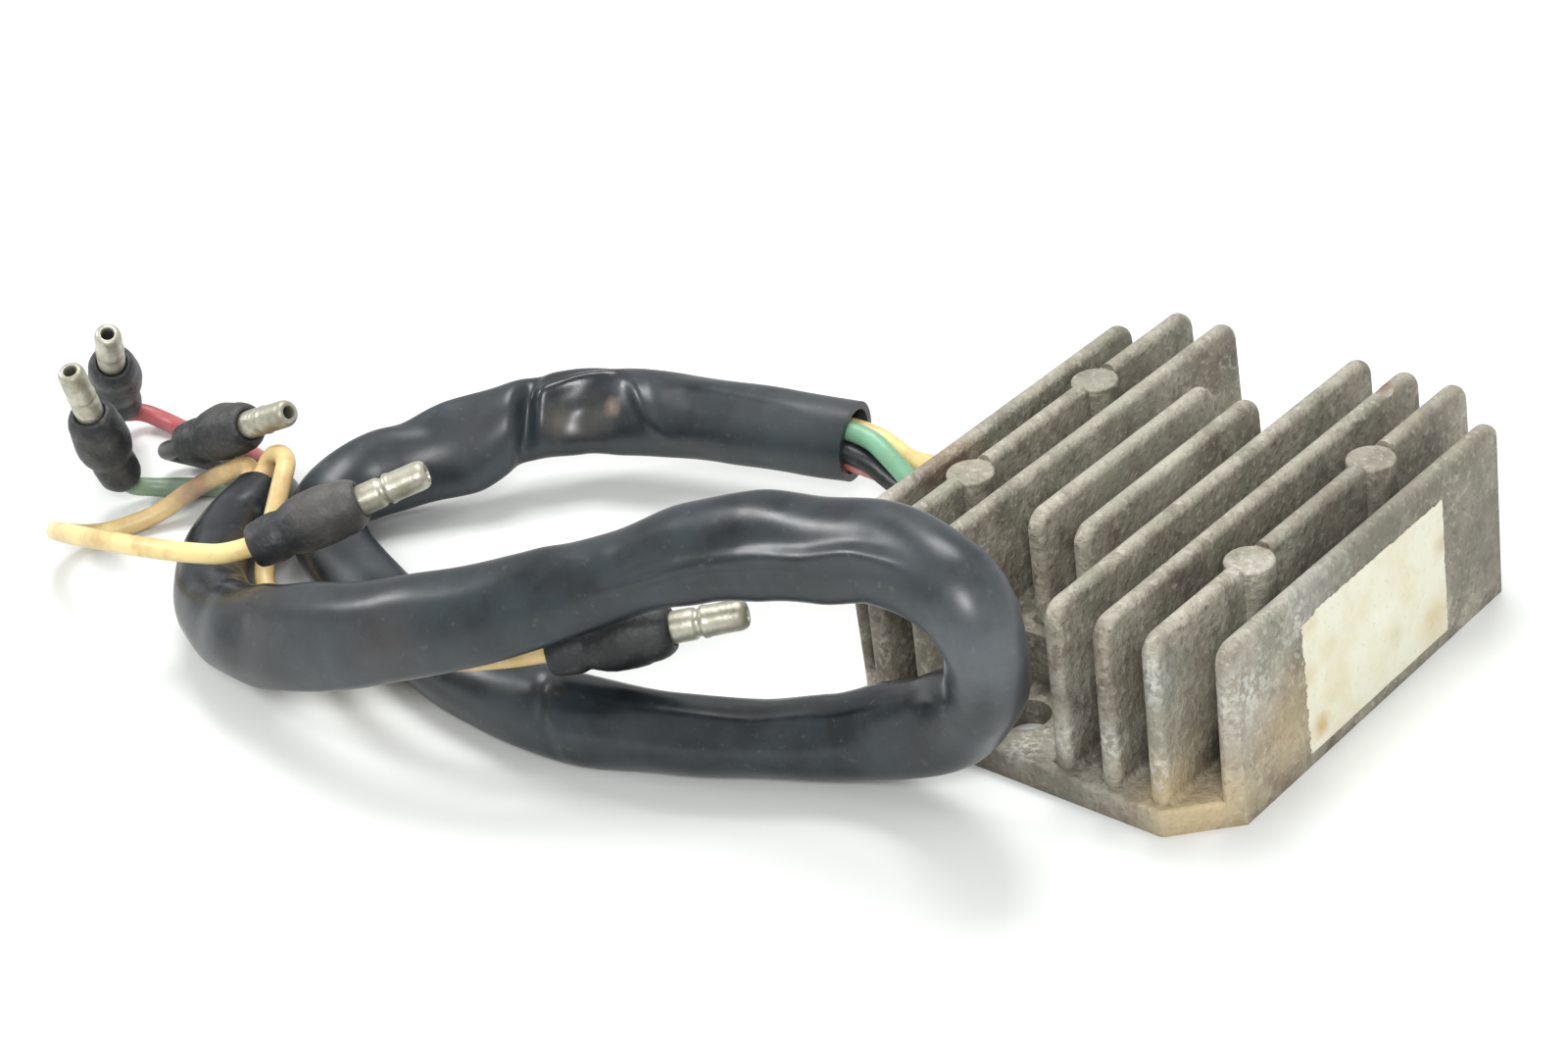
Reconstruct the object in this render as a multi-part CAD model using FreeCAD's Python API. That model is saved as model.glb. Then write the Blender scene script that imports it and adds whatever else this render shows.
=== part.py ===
import FreeCAD, Part
import math
import os

# Finned single-phase voltage regulator rectifier with its lead harness, in millimetres.
# x runs across the fins, y along them and z up; the origin is the centre of the flat underside.

V = FreeCAD.Vector
X_AXIS = V(1, 0, 0)
Y_AXIS = V(0, 1, 0)
Z_AXIS = V(0, 0, 1)

# Fins of the die-cast heat sink
FIN_COUNT = 9
FIN_PITCH = 7.2
CREST_WIDTH = 2.4
CREST_HEIGHT = 27.1
FIN_FOOT_INSET = 1.2            # from each end of the base to the feet of the long fins
SIDE_DRAFT = 0.0075             # lean of the long faces, for each mm of height
END_DRAFT = 0.024               # lean of the fin ends, for each mm of height
CREST_CORNER_RADIUS = 2.9
FIN_EDGE_RADIUS = 1.1
FOOT_COVE_RADIUS = 0.9
OUTER_FIN_SET_BACK = 4.4        # at each end of the first and the last fin
OUTER_FIN_DROP = 1.6
SHORT_FINS = (3, 4)             # counted from 0, between the two mounting recesses
SHORT_FIN_GAP = 9.3             # from a mounting hole's middle to the crests of the short fins

# Base of the heat sink
BASE_LENGTH = 73.1
BASE_THICKNESS = 3.7
CORNER_CHAMFER = 7.4
CORNER_EDGE_RADIUS = 1.2
BASE_EDGE_RADIUS = 0.6
DECK_MARGIN = 4.0               # of the raised gap floor, past each end of the potted cavity
DECK_ROOF = 2.5                 # metal between the cavity and the raised gap floor
MOUNTING_HOLE_RADIUS = 3.25
MOUNTING_HOLE_INSET = 8.05      # from each end of the base

# Ejector posts on the second fin from each side
POST_RADIUS = 3.2
POST_SPACING = 26.8
POST_DROP = 0.7
POST_EDGE_RADIUS = 0.35
POST_DRAFT = 0.013

# Knock on the crest of the seventh fin
NICK_FIN = 6
NICK_INSET = 7.1                # from the far end of the crest
NICK_RADIUS = 1.8
NICK_DEPTH = 0.7

# Potted cavity in the underside and the notch that the leads leave through
CAVITY_SIDE_GAP = 1.1           # beside the outermost power devices
CAVITY_CORNER_RADIUS = 3.0
CAVITY_DRAFT = 0.02
NOTCH_CENTRE = 8.0
NOTCH_MARGIN = 0.6              # beside the outermost leads
NOTCH_HEIGHT = 4.3
POTTING_RECESS = 0.4            # below the metal rim, so that the metal carries the unit
TONGUE_RECESS = 0.3

# Leads and their sleeve
LEAD_RADIUS = 1.45
LEAD_PITCH = 3.2                # side by side in the notch
LEAD_HEIGHT = 2.1
LEAD_RUN_OUT = 6.0              # straight run outside the wall
LEAD_END_GAP = 0.5              # from the end of each lead to the circuit board
SLEEVE_RADIUS = 5.4
SLEEVE_WALL = 1.1
SLEEVE_POCKET = 7.0             # open depth at each mouth of the sleeve
BUNDLE_RADIUS = 2.55            # ring of the leads inside the sleeve
MOUTH_RUN = 1.5                 # straight run of each lead past the mouth
ARC_SHARE = 0.45                # of the shorter run, used up by the arc at a route point

# Bullet terminals and the soft boots on them
BOOT_LENGTH = 16.5
BOOT_REAR_RADIUS = 2.8
BOOT_TAIL_RADIUS = 3.5
BOOT_TAIL_LENGTH = 5.0
BOOT_GROOVE_RADIUS = 3.2        # between the tail and the body
BOOT_BODY_RADIUS = 4.15
BOOT_BODY_SHARE = 0.45          # of the body's length, up to its widest place
BOOT_MOUTH_RADIUS = 2.9
BOOT_MOUTH_DEPTH = 1.5          # how far the bullet's foot reaches into the boot
LEAD_SOCKET = 2.5               # how far the lead reaches into the boot
BARREL_RADIUS = 1.9
BULLET_RADIUS = 2.1
BULLET_BASE_LENGTH = 3.4
BULLET_GROOVE_RADIUS = 1.8
BULLET_GROOVE_WIDTH = 0.6
BULLET_HEAD_RADIUS = 2.05
BULLET_HEAD_LENGTH = 5.9
BULLET_NOSE_RADIUS = 0.9
BULLET_HOLE_RADIUS = 0.9
BULLET_HOLE_DEPTH = 5.0
SLIP_FIT = 0.05                 # round a lead or barrel in its bore

# Paper label on the outer face of the last fin
LABEL_WIDTH = 32.0
LABEL_BOTTOM = 1.8
LABEL_TOP_GAP = 4.1             # below the crest of the fin that carries it
LABEL_THICKNESS = 0.15
LABEL_TORN_LENGTH = 3.8
LABEL_TORN_HEIGHT = 1.6

# Circuit inside the potting
BOARD_GAP = 2.0                 # between the board and each wall of the cavity
BOARD_THICKNESS = 1.6
BOARD_BOTTOM = 2.0
DEVICE_PITCH = 11.2
DEVICE_WIDTH = 10.2
DEVICE_BODY_LENGTH = 9.2
DEVICE_BODY_THICKNESS = 4.5
DEVICE_TAB_LENGTH = 6.2
DEVICE_TAB_THICKNESS = 1.3
DEVICE_TAB_HOLE_RADIUS = 1.85
DEVICE_WALL_GAP = 1.2
DEVICE_BOARD_GAP = 0.4
LEG_WIDTH = 0.8
LEG_THICKNESS = 0.5
LEG_PITCH = 2.54
LEG_REACH = 3.0
LEG_SETBACK = 2.4               # below the back of the tab
WIRE_RADIUS = 0.35
WIRE_REACH = 1.2
RESISTOR_COUNT = 4
RESISTOR_RADIUS = 1.2
RESISTOR_LENGTH = 6.3
RESISTOR_PITCH = 3.4
ZENER_RADIUS = 1.35
ZENER_LENGTH = 5.2
CAPACITOR_RADIUS = 2.1
CAPACITOR_LENGTH = 7.0
TRANSISTOR_RADIUS = 2.3
TRANSISTOR_HEIGHT = 4.2
TRANSISTOR_FLAT = 1.3
SMALL_PART_PITCH = 6.8
SMALL_PART_SIDE_GAP = 1.2       # from the side of the board to the first resistor
SMALL_PART_END_GAP = 2.3        # from the end of the board to the longest small part
SMALL_PART_ROW_GAP = 2.7        # from the legs of the power devices to the longest small part
SMALL_PART_STANDOFF = 0.2

# Middle line of the sleeve, from the mouth at the unit to the mouth at the plugs
SLEEVE_ROUTE = [
    (-57.5, 3, 12), (-71, -0.5, 12.5), (-85, -3, 12), (-97, -6, 11.5), (-104.5, -12.5, 11),
    (-109.5, -20, 10), (-116.5, -28, 8.5), (-123.5, -35, 7), (-122.5, -43, 6), (-111, -50, 5.5),
    (-93, -56, 5.5), (-74.5, -60.5, 5.5), (-56.5, -61.5, 5.5), (-40.5, -57.5, 5.5),
    (-27.5, -51.5, 5.5), (-15.5, -46, 6.5), (-2.5, -45, 12), (7.5, -46, 21.5), (10.5, -48, 32),
    (6.5, -49.5, 38.5), (-5.5, -48, 39), (-20.5, -48.5, 36), (-35, -52.5, 31.5), (-45, -60.5, 28),
    (-55.5, -69, 25), (-68.5, -75, 21.5), (-86.5, -77, 15.5), (-105.5, -74.5, 9.5),
    (-122, -66, 7), (-130, -55.5, 7), (-132.5, -46.5, 7)]

# Each lead: its seat in the bundle in degrees and its free points, between the unit and the sleeve
UNIT_LEADS = {
    "green": (18, [(-49.5, 1.9, 10.2), (-42.5, 1.6, 5.6)]),
    "black": (306, [(-49.5, 3.6, 7.2), (-42.5, 5, 3.6)]),
    "yellow_1": (90, [(-49.5, 5.6, 11.6), (-42.5, 7.9, 6.6)]),
    "red": (234, [(-49.5, 7.8, 7.2), (-42.5, 10.9, 3.8)]),
    "yellow_2": (162, [(-49.5, 9.4, 10.2), (-42.5, 14.2, 5.8)])}

# The same between the sleeve and each plug, then the plug's rear end, its tip and the run behind it
PLUG_LEADS = {
    "red": (18, [(-134.2, -40.5, 7.9), (-140, -38.3, 6.8), (-147, -36, 5.5), (-155, -34.2, 4.6),
                 (-162, -33, 2.2), (-168.5, -32.2, 1.6), (-174.5, -31.8, 1.7), (-179.2, -33, 3)],
            (-177, -38, 7), (-162, -45.5, 27.5), 3.0),
    "green": (234, [(-136, -41.5, 3.6), (-141.5, -40, 1.8), (-148, -40.5, 1.6), (-154, -43, 1.6),
                    (-159, -46.5, 1.8)],
              (-160.5, -51, 5.5), (-153.5, -58.5, 30), 1.8),
    "black": (306, [(-133.4, -39.8, 4.6), (-139, -36.6, 3.2), (-146.5, -35.8, 2.2), (-153.5, -36, 1.8),
                    (-159, -37, 1.8), (-163.5, -40, 3.6)],
              (-153.5, -42.5, 9), (-129.5, -39.5, 19.5), 5.5),
    "yellow_1": (162, [(-138.2, -42.2, 10), (-144, -43.9, 7.3), (-148.5, -47, 4.8), (-151.5, -51.5, 2.2),
                       (-154, -56, 1.6), (-156.5, -60.5, 1.8), (-157.5, -65.5, 4.8), (-152.5, -69, 8.5),
                       (-143.5, -71.5, 12), (-132.5, -73.5, 15.5), (-121.5, -74, 18), (-113, -72, 18.5)],
                 (-106.5, -66.5, 18.5), (-89.5, -47.5, 25), 3.0),
    "yellow_2": (90, [(-132.8, -42, 13), (-127.6, -42.8, 14.4), (-124.3, -47.6, 12.8), (-122, -53, 8.5),
                      (-119.5, -58, 3.8), (-112.5, -61.5, 2.6), (-101.5, -64.5, 5), (-87.5, -67.8, 9),
                      (-74.5, -69.8, 12.5), (-63.5, -67.8, 15)],
                 (-54.5, -61, 15.5), (-34, -44.5, 18.5), 3.0)}

# Derived sizes
MIDDLE_FIN = (FIN_COUNT - 1) / 2
ROOT_HALF_WIDTH = CREST_WIDTH / 2 + SIDE_DRAFT * CREST_HEIGHT
BASE_WIDTH = 2 * (MIDDLE_FIN * FIN_PITCH + ROOT_HALF_WIDTH)
CREST_LENGTH = BASE_LENGTH - 2 * (FIN_FOOT_INSET + END_DRAFT * CREST_HEIGHT)
MOUNTING_HOLE_SPACING = BASE_LENGTH - 2 * MOUNTING_HOLE_INSET
SHORT_FIN_LENGTH = MOUNTING_HOLE_SPACING - 2 * SHORT_FIN_GAP
DEVICE_NAMES = ("thyristor_left", "rectifier_diode_left", "rectifier_diode_right", "thyristor_right")
DEVICE_LENGTH = DEVICE_TAB_LENGTH + DEVICE_BODY_LENGTH
SMALL_PART_LENGTH = CAPACITOR_LENGTH + 2 * WIRE_REACH
CAVITY_WIDTH = (len(DEVICE_NAMES) - 1) * DEVICE_PITCH + DEVICE_WIDTH + 2 * CAVITY_SIDE_GAP
CAVITY_LENGTH = (DEVICE_WALL_GAP + DEVICE_LENGTH + LEG_REACH + SMALL_PART_ROW_GAP + SMALL_PART_LENGTH
                 + SMALL_PART_END_GAP + BOARD_GAP)
BOARD_TOP = BOARD_BOTTOM + BOARD_THICKNESS
CAVITY_DEPTH = BOARD_TOP + DEVICE_BOARD_GAP + DEVICE_BODY_THICKNESS
DECK_LENGTH = CAVITY_LENGTH + 2 * DECK_MARGIN
DECK_HEIGHT = CAVITY_DEPTH + DECK_ROOF
FLOOR_HEIGHTS = (BASE_THICKNESS, DECK_HEIGHT)
POST_TOP = CREST_HEIGHT - POST_DROP
POST_PLACES = [(number, side * POST_SPACING / 2) for number in (1, FIN_COUNT - 2) for side in (-1, 1)]
RECESS_MIDDLE = sum(SHORT_FINS) / len(SHORT_FINS)
BOARD_WIDTH = CAVITY_WIDTH - 2 * BOARD_GAP
BOARD_LENGTH = CAVITY_LENGTH - 2 * BOARD_GAP
SMALL_PART_ROW = BOARD_LENGTH / 2 - SMALL_PART_END_GAP - SMALL_PART_LENGTH / 2
NOTCH_WIDTH = (len(UNIT_LEADS) - 1) * LEAD_PITCH + 2 * (LEAD_RADIUS + NOTCH_MARGIN)


def fin_x(number):
    return (number - MIDDLE_FIN) * FIN_PITCH


def corner(before, at, after, cut):
    """Start, middle, end and radius of the arc that leaves both runs at the distance cut from a corner."""
    back = (before - at).normalize()
    ahead = (after - at).normalize()
    half_turn = (math.pi - back.getAngle(ahead)) / 2
    radius = cut / math.tan(half_turn)
    bisector = (back + ahead).normalize()
    middle = at + bisector * (radius / math.cos(half_turn) - radius)
    return at + back * cut, middle, at + ahead * cut, radius


def rounded_face(points, radii):
    """Flat face through the points, with each corner rounded by its radius, or sharp at 0."""
    count = len(points)
    ends = []
    edges = []
    for index, radius in enumerate(radii):
        at = points[index]
        before = points[index - 1]
        after = points[(index + 1) % count]
        if radius == 0:
            ends.append((at, at))
            continue
        half_turn = (math.pi - (before - at).getAngle(after - at)) / 2
        start, middle, end, _ = corner(before, at, after, radius * math.tan(half_turn))
        edges.append(Part.Arc(start, middle, end).toShape())
        ends.append((start, end))
    for index in range(count):
        edges.append(Part.makeLine(ends[index - 1][1], ends[index][0]))
    return Part.Face(Part.Wire(Part.__sortEdges__(edges)))


def block(x_low, x_high, y_low, y_high, z_low, z_high):
    return Part.makeBox(x_high - x_low, y_high - y_low, z_high - z_low, V(x_low, y_low, z_low))


def drafted_block(width, length, bottom, top, draft):
    """Block with its middle on the z axis whose sides lean in by draft for each mm of height."""
    wires = []
    for height in (bottom, top):
        inset = draft * (height - bottom)
        half_x = width / 2 - inset
        half_y = length / 2 - inset
        corners = [V(-half_x, -half_y, height), V(half_x, -half_y, height),
                   V(half_x, half_y, height), V(-half_x, half_y, height)]
        wires.append(Part.makePolygon(corners + corners[:1]))
    return Part.makeLoft(wires, True, True)


def upright_edges(solid):
    return [edge for edge in solid.Edges if edge.BoundBox.ZLength > solid.BoundBox.ZLength * 0.9]


def base_outline(height):
    """Rectangle with cut corners, at a height, inside the draft of the long faces."""
    half_x = BASE_WIDTH / 2 - SIDE_DRAFT * height
    half_y = BASE_LENGTH / 2 - SIDE_DRAFT * height
    cut_x = half_x - CORNER_CHAMFER
    cut_y = half_y - CORNER_CHAMFER
    points = [V(half_x, -cut_y, height), V(half_x, cut_y, height), V(cut_x, half_y, height),
              V(-cut_x, half_y, height), V(-half_x, cut_y, height), V(-half_x, -cut_y, height),
              V(-cut_x, -half_y, height), V(cut_x, -half_y, height)]
    return Part.makePolygon(points + points[:1])


def base_plate():
    plate = Part.makeLoft([base_outline(0), base_outline(BASE_THICKNESS)], True, True)
    plate = plate.makeFillet(CORNER_EDGE_RADIUS, upright_edges(plate))
    rim = [edge for edge in plate.Edges if edge.BoundBox.ZMin > BASE_THICKNESS - 0.01]
    return plate.makeFillet(BASE_EDGE_RADIUS, rim)


def fin_size(number):
    """Crest length and crest height of a fin."""
    if number in (0, FIN_COUNT - 1):
        return CREST_LENGTH - 2 * OUTER_FIN_SET_BACK, CREST_HEIGHT - OUTER_FIN_DROP
    if number in SHORT_FINS:
        return SHORT_FIN_LENGTH, CREST_HEIGHT
    return CREST_LENGTH, CREST_HEIGHT


def side_half_width(height):
    return ROOT_HALF_WIDTH - SIDE_DRAFT * height


def fin(number):
    """One fin from the underside up: drafted on all four sides and rounded along its whole free edge."""
    crest_length, crest_height = fin_size(number)
    crest_half = crest_length / 2
    foot_half = crest_half + END_DRAFT * crest_height
    crest_x = side_half_width(crest_height)
    section = Part.makePolygon([V(-ROOT_HALF_WIDTH, -foot_half, 0), V(ROOT_HALF_WIDTH, -foot_half, 0),
                                V(crest_x, -foot_half, crest_height), V(-crest_x, -foot_half, crest_height),
                                V(-ROOT_HALF_WIDTH, -foot_half, 0)])
    slab = Part.Face(section).extrude(V(0, 2 * foot_half, 0))
    outline = [V(-FIN_PITCH, -foot_half, 0), V(-FIN_PITCH, foot_half, 0),
               V(-FIN_PITCH, crest_half, crest_height), V(-FIN_PITCH, -crest_half, crest_height)]
    side = rounded_face(outline, (0, 0, CREST_CORNER_RADIUS, CREST_CORNER_RADIUS))
    slab = slab.common(side.extrude(V(2 * FIN_PITCH, 0, 0)))
    free_edges = [edge for edge in slab.Edges
                  if edge.BoundBox.ZMax > 0.01 and edge.BoundBox.XLength < CREST_WIDTH / 2]
    slab = slab.Solids[0].makeFillet(FIN_EDGE_RADIUS, free_edges)
    return slab.translated(V(fin_x(number), 0, 0))


def foot_cove(number, side, floor):
    """Strip with a concave face in the corner between a fin's side and the gap floor."""
    crest_length, _ = fin_size(number)
    half_length = crest_length / 2 if floor == BASE_THICKNESS else min(crest_length, DECK_LENGTH) / 2
    head = side_half_width(floor + FOOT_COVE_RADIUS)
    reach = head + FOOT_COVE_RADIUS
    lowest = V(side * reach, -half_length, floor)
    highest = V(side * head, -half_length, floor + FOOT_COVE_RADIUS)
    bulge = FOOT_COVE_RADIUS * (1 - math.sqrt(0.5))
    middle = V(side * (head + bulge), -half_length, floor + bulge)
    inner_low = V(0, -half_length, floor - BASE_EDGE_RADIUS)
    outer_low = V(side * reach, -half_length, floor - BASE_EDGE_RADIUS)
    inner_high = V(0, -half_length, floor + FOOT_COVE_RADIUS)
    edges = [Part.Arc(lowest, middle, highest).toShape(), Part.makeLine(highest, inner_high),
             Part.makeLine(inner_high, inner_low), Part.makeLine(inner_low, outer_low),
             Part.makeLine(outer_low, lowest)]
    strip = Part.Face(Part.Wire(edges)).extrude(V(0, 2 * half_length, 0))
    return strip.translated(V(fin_x(number), 0, 0))


def post(number, y):
    """Round ejector post that stands through a fin, a little lower than its crest."""
    foot_radius = POST_RADIUS + POST_DRAFT * POST_TOP
    cone = Part.makeCone(foot_radius, POST_RADIUS, POST_TOP, V(fin_x(number), y, 0))
    rim = [edge for edge in cone.Edges if edge.BoundBox.ZMin > POST_TOP - 0.01]
    return cone.makeFillet(POST_EDGE_RADIUS, rim)


def cavity(bottom):
    """Space for the potting, from a height up to the cavity's roof."""
    space = drafted_block(CAVITY_WIDTH, CAVITY_LENGTH, 0, CAVITY_DEPTH, CAVITY_DRAFT)
    space = space.makeFillet(CAVITY_CORNER_RADIUS, upright_edges(space))
    return space.common(block(-BASE_WIDTH, BASE_WIDTH, -BASE_LENGTH, BASE_LENGTH, bottom, CAVITY_DEPTH))


def notch(x_low, z_low):
    y_low = NOTCH_CENTRE - NOTCH_WIDTH / 2
    return block(x_low, -CAVITY_WIDTH / 2 + 1, y_low, y_low + NOTCH_WIDTH, z_low, NOTCH_HEIGHT)


def heat_sink():
    pieces = []
    for number in range(FIN_COUNT):
        pieces.append(fin(number))
        for side in (-1, 1):
            if number + side in range(FIN_COUNT):
                pieces.extend(foot_cove(number, side, floor) for floor in FLOOR_HEIGHTS)
    pieces.extend(post(number, y) for number, y in POST_PLACES)
    deck_width = 2 * (fin_x(FIN_COUNT - 1))
    pieces.append(drafted_block(deck_width, DECK_LENGTH, 0, DECK_HEIGHT, END_DRAFT))
    body = pieces[0].multiFuse(pieces[1:])
    limit = Part.Face(base_outline(0)).extrude(V(0, 0, CREST_HEIGHT))
    body = body.common(limit).fuse(base_plate())
    cuts = [cavity(0), notch(-BASE_WIDTH, 0)]
    for number, y in POST_PLACES:
        # The crest stops at the round face that the ejector pin left
        cuts.append(Part.makeCylinder(POST_RADIUS, CREST_HEIGHT, V(fin_x(number), y, POST_TOP)))
    for y in (-MOUNTING_HOLE_SPACING / 2, MOUNTING_HOLE_SPACING / 2):
        foot = V(fin_x(RECESS_MIDDLE), y, 0)
        cuts.append(Part.makeCylinder(MOUNTING_HOLE_RADIUS, DECK_HEIGHT, foot))
    nick_centre = V(fin_x(NICK_FIN) - FIN_PITCH / 2, CREST_LENGTH / 2 - NICK_INSET,
                    CREST_HEIGHT + NICK_RADIUS - NICK_DEPTH)
    cuts.append(Part.makeCylinder(NICK_RADIUS, FIN_PITCH, nick_centre, X_AXIS))
    return body.cut(cuts).removeSplitter().Solids[0]


def label():
    """Bare paper label that lies on the outer face of the last fin, with one torn corner."""
    half = LABEL_WIDTH / 2
    _, crest_height = fin_size(FIN_COUNT - 1)
    top = crest_height - LABEL_TOP_GAP
    outline = [(-half, LABEL_BOTTOM), (half, LABEL_BOTTOM), (half, top), (-half + LABEL_TORN_LENGTH, top),
               (-half, top - LABEL_TORN_HEIGHT)]
    points = [V(fin_x(FIN_COUNT - 1) + side_half_width(z), y, z) for y, z in outline]
    outward = V(1, 0, SIDE_DRAFT).normalize()
    return Part.Face(Part.makePolygon(points + points[:1])).extrude(outward * LABEL_THICKNESS)


def power_device(place):
    """Power package with its tab on the cavity roof and three legs bent down to the board."""
    middle = (place - (len(DEVICE_NAMES) - 1) / 2) * DEVICE_PITCH
    left = middle - DEVICE_WIDTH / 2
    right = middle + DEVICE_WIDTH / 2
    tab_end = -CAVITY_LENGTH / 2 + DEVICE_WALL_GAP
    body_start = tab_end + DEVICE_TAB_LENGTH
    body_end = tab_end + DEVICE_LENGTH
    leg_top = CAVITY_DEPTH - LEG_SETBACK
    tab = block(left, right, tab_end, body_end, CAVITY_DEPTH - DEVICE_TAB_THICKNESS, CAVITY_DEPTH)
    hole_foot = V(middle, tab_end + DEVICE_TAB_LENGTH / 2, 0)
    tab = tab.cut(Part.makeCylinder(DEVICE_TAB_HOLE_RADIUS, CAVITY_DEPTH, hole_foot))
    solids = [block(left, right, body_start, body_end, CAVITY_DEPTH - DEVICE_BODY_THICKNESS, CAVITY_DEPTH)]
    for step in (-1, 0, 1):
        leg_left = middle + step * LEG_PITCH - LEG_WIDTH / 2
        leg_right = leg_left + LEG_WIDTH
        tip = body_end + LEG_REACH
        solids.append(block(leg_left, leg_right, body_end - 1, tip, leg_top - LEG_THICKNESS, leg_top))
        solids.append(block(leg_left, leg_right, tip - LEG_THICKNESS, tip, BOARD_TOP, leg_top))
    return tab.multiFuse(solids).removeSplitter().Solids[0]


def axial_part(x, radius, length):
    """Small part that lies along y over the board on two bent wires."""
    height = BOARD_TOP + SMALL_PART_STANDOFF + radius
    reach = length / 2 + WIRE_REACH
    body = Part.makeCylinder(radius, length, V(x, SMALL_PART_ROW - length / 2, height), Y_AXIS)
    wire = Part.makeCylinder(WIRE_RADIUS, 2 * reach, V(x, SMALL_PART_ROW - reach, height), Y_AXIS)
    legs = [Part.makeCylinder(WIRE_RADIUS, height - BOARD_TOP, V(x, SMALL_PART_ROW + end * reach, BOARD_TOP))
            for end in (-1, 1)]
    elbows = [Part.makeSphere(WIRE_RADIUS, V(x, SMALL_PART_ROW + end * reach, height)) for end in (-1, 1)]
    return body.multiFuse([wire] + legs + elbows).removeSplitter().Solids[0]


def transistor(x):
    """Small round-backed transistor that stands on the board."""
    body = Part.makeCylinder(TRANSISTOR_RADIUS, TRANSISTOR_HEIGHT, V(x, SMALL_PART_ROW, BOARD_TOP))
    flat = SMALL_PART_ROW + TRANSISTOR_FLAT
    back = SMALL_PART_ROW + TRANSISTOR_RADIUS
    return body.cut(block(x - TRANSISTOR_RADIUS, x + TRANSISTOR_RADIUS, flat, back, 0, CAVITY_DEPTH))


def circuit():
    """Board and the parts on it, by name."""
    parts = {"circuit_board": block(-BOARD_WIDTH / 2, BOARD_WIDTH / 2, -BOARD_LENGTH / 2, BOARD_LENGTH / 2,
                                    BOARD_BOTTOM, BOARD_TOP)}
    for place, name in enumerate(DEVICE_NAMES):
        parts[name] = power_device(place)
    resistor_x = -BOARD_WIDTH / 2 + SMALL_PART_SIDE_GAP + RESISTOR_RADIUS
    resistors = [axial_part(resistor_x + step * RESISTOR_PITCH, RESISTOR_RADIUS, RESISTOR_LENGTH)
                 for step in range(RESISTOR_COUNT)]
    parts["gate_resistors"] = Part.makeCompound(resistors)
    parts["zener_diode"] = axial_part(-SMALL_PART_PITCH / 2, ZENER_RADIUS, ZENER_LENGTH)
    parts["control_transistor"] = transistor(SMALL_PART_PITCH / 2)
    parts["filter_capacitor"] = axial_part(SMALL_PART_PITCH * 1.5, CAPACITOR_RADIUS, CAPACITOR_LENGTH)
    return parts


def swept_tube(points, radius):
    """Solid tube along straight runs that tangent arcs join, with the radius of each arc."""
    edges = []
    radii = []
    last = points[0]
    for before, at, after in zip(points, points[1:], points[2:]):
        cut = ARC_SHARE * min((at - before).Length, (after - at).Length)
        start, middle, end, arc_radius = corner(before, at, after, cut)
        edges.append(Part.makeLine(last, start))
        edges.append(Part.Arc(start, middle, end).toShape())
        radii.append(arc_radius)
        last = end
    edges.append(Part.makeLine(last, points[-1]))
    spine = Part.Wire(edges)
    ring = Part.Wire(Part.makeCircle(radius, points[0], points[1] - points[0]))
    return spine.makePipeShell([ring], True, False), spine.Length, radii


def bundle_seat(mouth, inner, angle):
    """Two places on a lead's straight run: at the bottom of the sleeve's pocket and past its mouth."""
    out = (mouth - inner).normalize()
    side = out.cross(Z_AXIS).normalize()
    up = side.cross(out)
    turn = math.radians(angle)
    seat = side * (BUNDLE_RADIUS * math.cos(turn)) + up * (BUNDLE_RADIUS * math.sin(turn))
    return [mouth - out * SLEEVE_POCKET + seat, mouth + out * MOUTH_RUN + seat]


def sleeve(points):
    tube, length, radii = swept_tube(points, SLEEVE_RADIUS)
    for mouth, inner in ((points[0], points[1]), (points[-1], points[-2])):
        inward = (inner - mouth).normalize()
        start = mouth - inward
        tube = tube.cut(Part.makeCylinder(SLEEVE_RADIUS - SLEEVE_WALL, SLEEVE_POCKET + 1, start, inward))
    return tube, length, radii


def unit_lead_points(sleeve_points, slot, angle, free):
    y = NOTCH_CENTRE + (slot - (len(UNIT_LEADS) - 1) / 2) * LEAD_PITCH
    wall_x = -BASE_WIDTH / 2
    end_x = -BOARD_WIDTH / 2 - LEAD_END_GAP
    ends = [V(wall_x - LEAD_RUN_OUT, y, LEAD_HEIGHT), V(end_x, y, LEAD_HEIGHT)]
    return bundle_seat(sleeve_points[0], sleeve_points[1], angle) + [V(*point) for point in free] + ends


def plug_axis(rear, tip):
    return (V(*tip) - V(*rear)).normalize()


def plug_lead_points(sleeve_points, angle, free, rear, tip, run):
    axis = plug_axis(rear, tip)
    ends = [V(*rear) - axis * run, V(*rear) + axis * LEAD_SOCKET]
    return bundle_seat(sleeve_points[-1], sleeve_points[-2], angle) + [V(*point) for point in free] + ends


def profile(outline):
    """Straight edges through (radius, distance) corners."""
    return Part.makePolygon([V(radius, 0, distance) for radius, distance in outline]).Edges


def bulge(start, widest, end):
    """Arc through three (radius, distance) places."""
    return Part.Arc(*[V(radius, 0, distance) for radius, distance in (start, widest, end)]).toShape()


def turned(edges, rear, tip):
    """Solid turned from the edges of a profile and placed along a plug's axis."""
    face = Part.Face(Part.Wire(edges))
    solid = face.revolve(V(0, 0, 0), Z_AXIS, 360)
    solid.Placement = FreeCAD.Placement(V(*rear), FreeCAD.Rotation(Z_AXIS, plug_axis(rear, tip)))
    return solid


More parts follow.
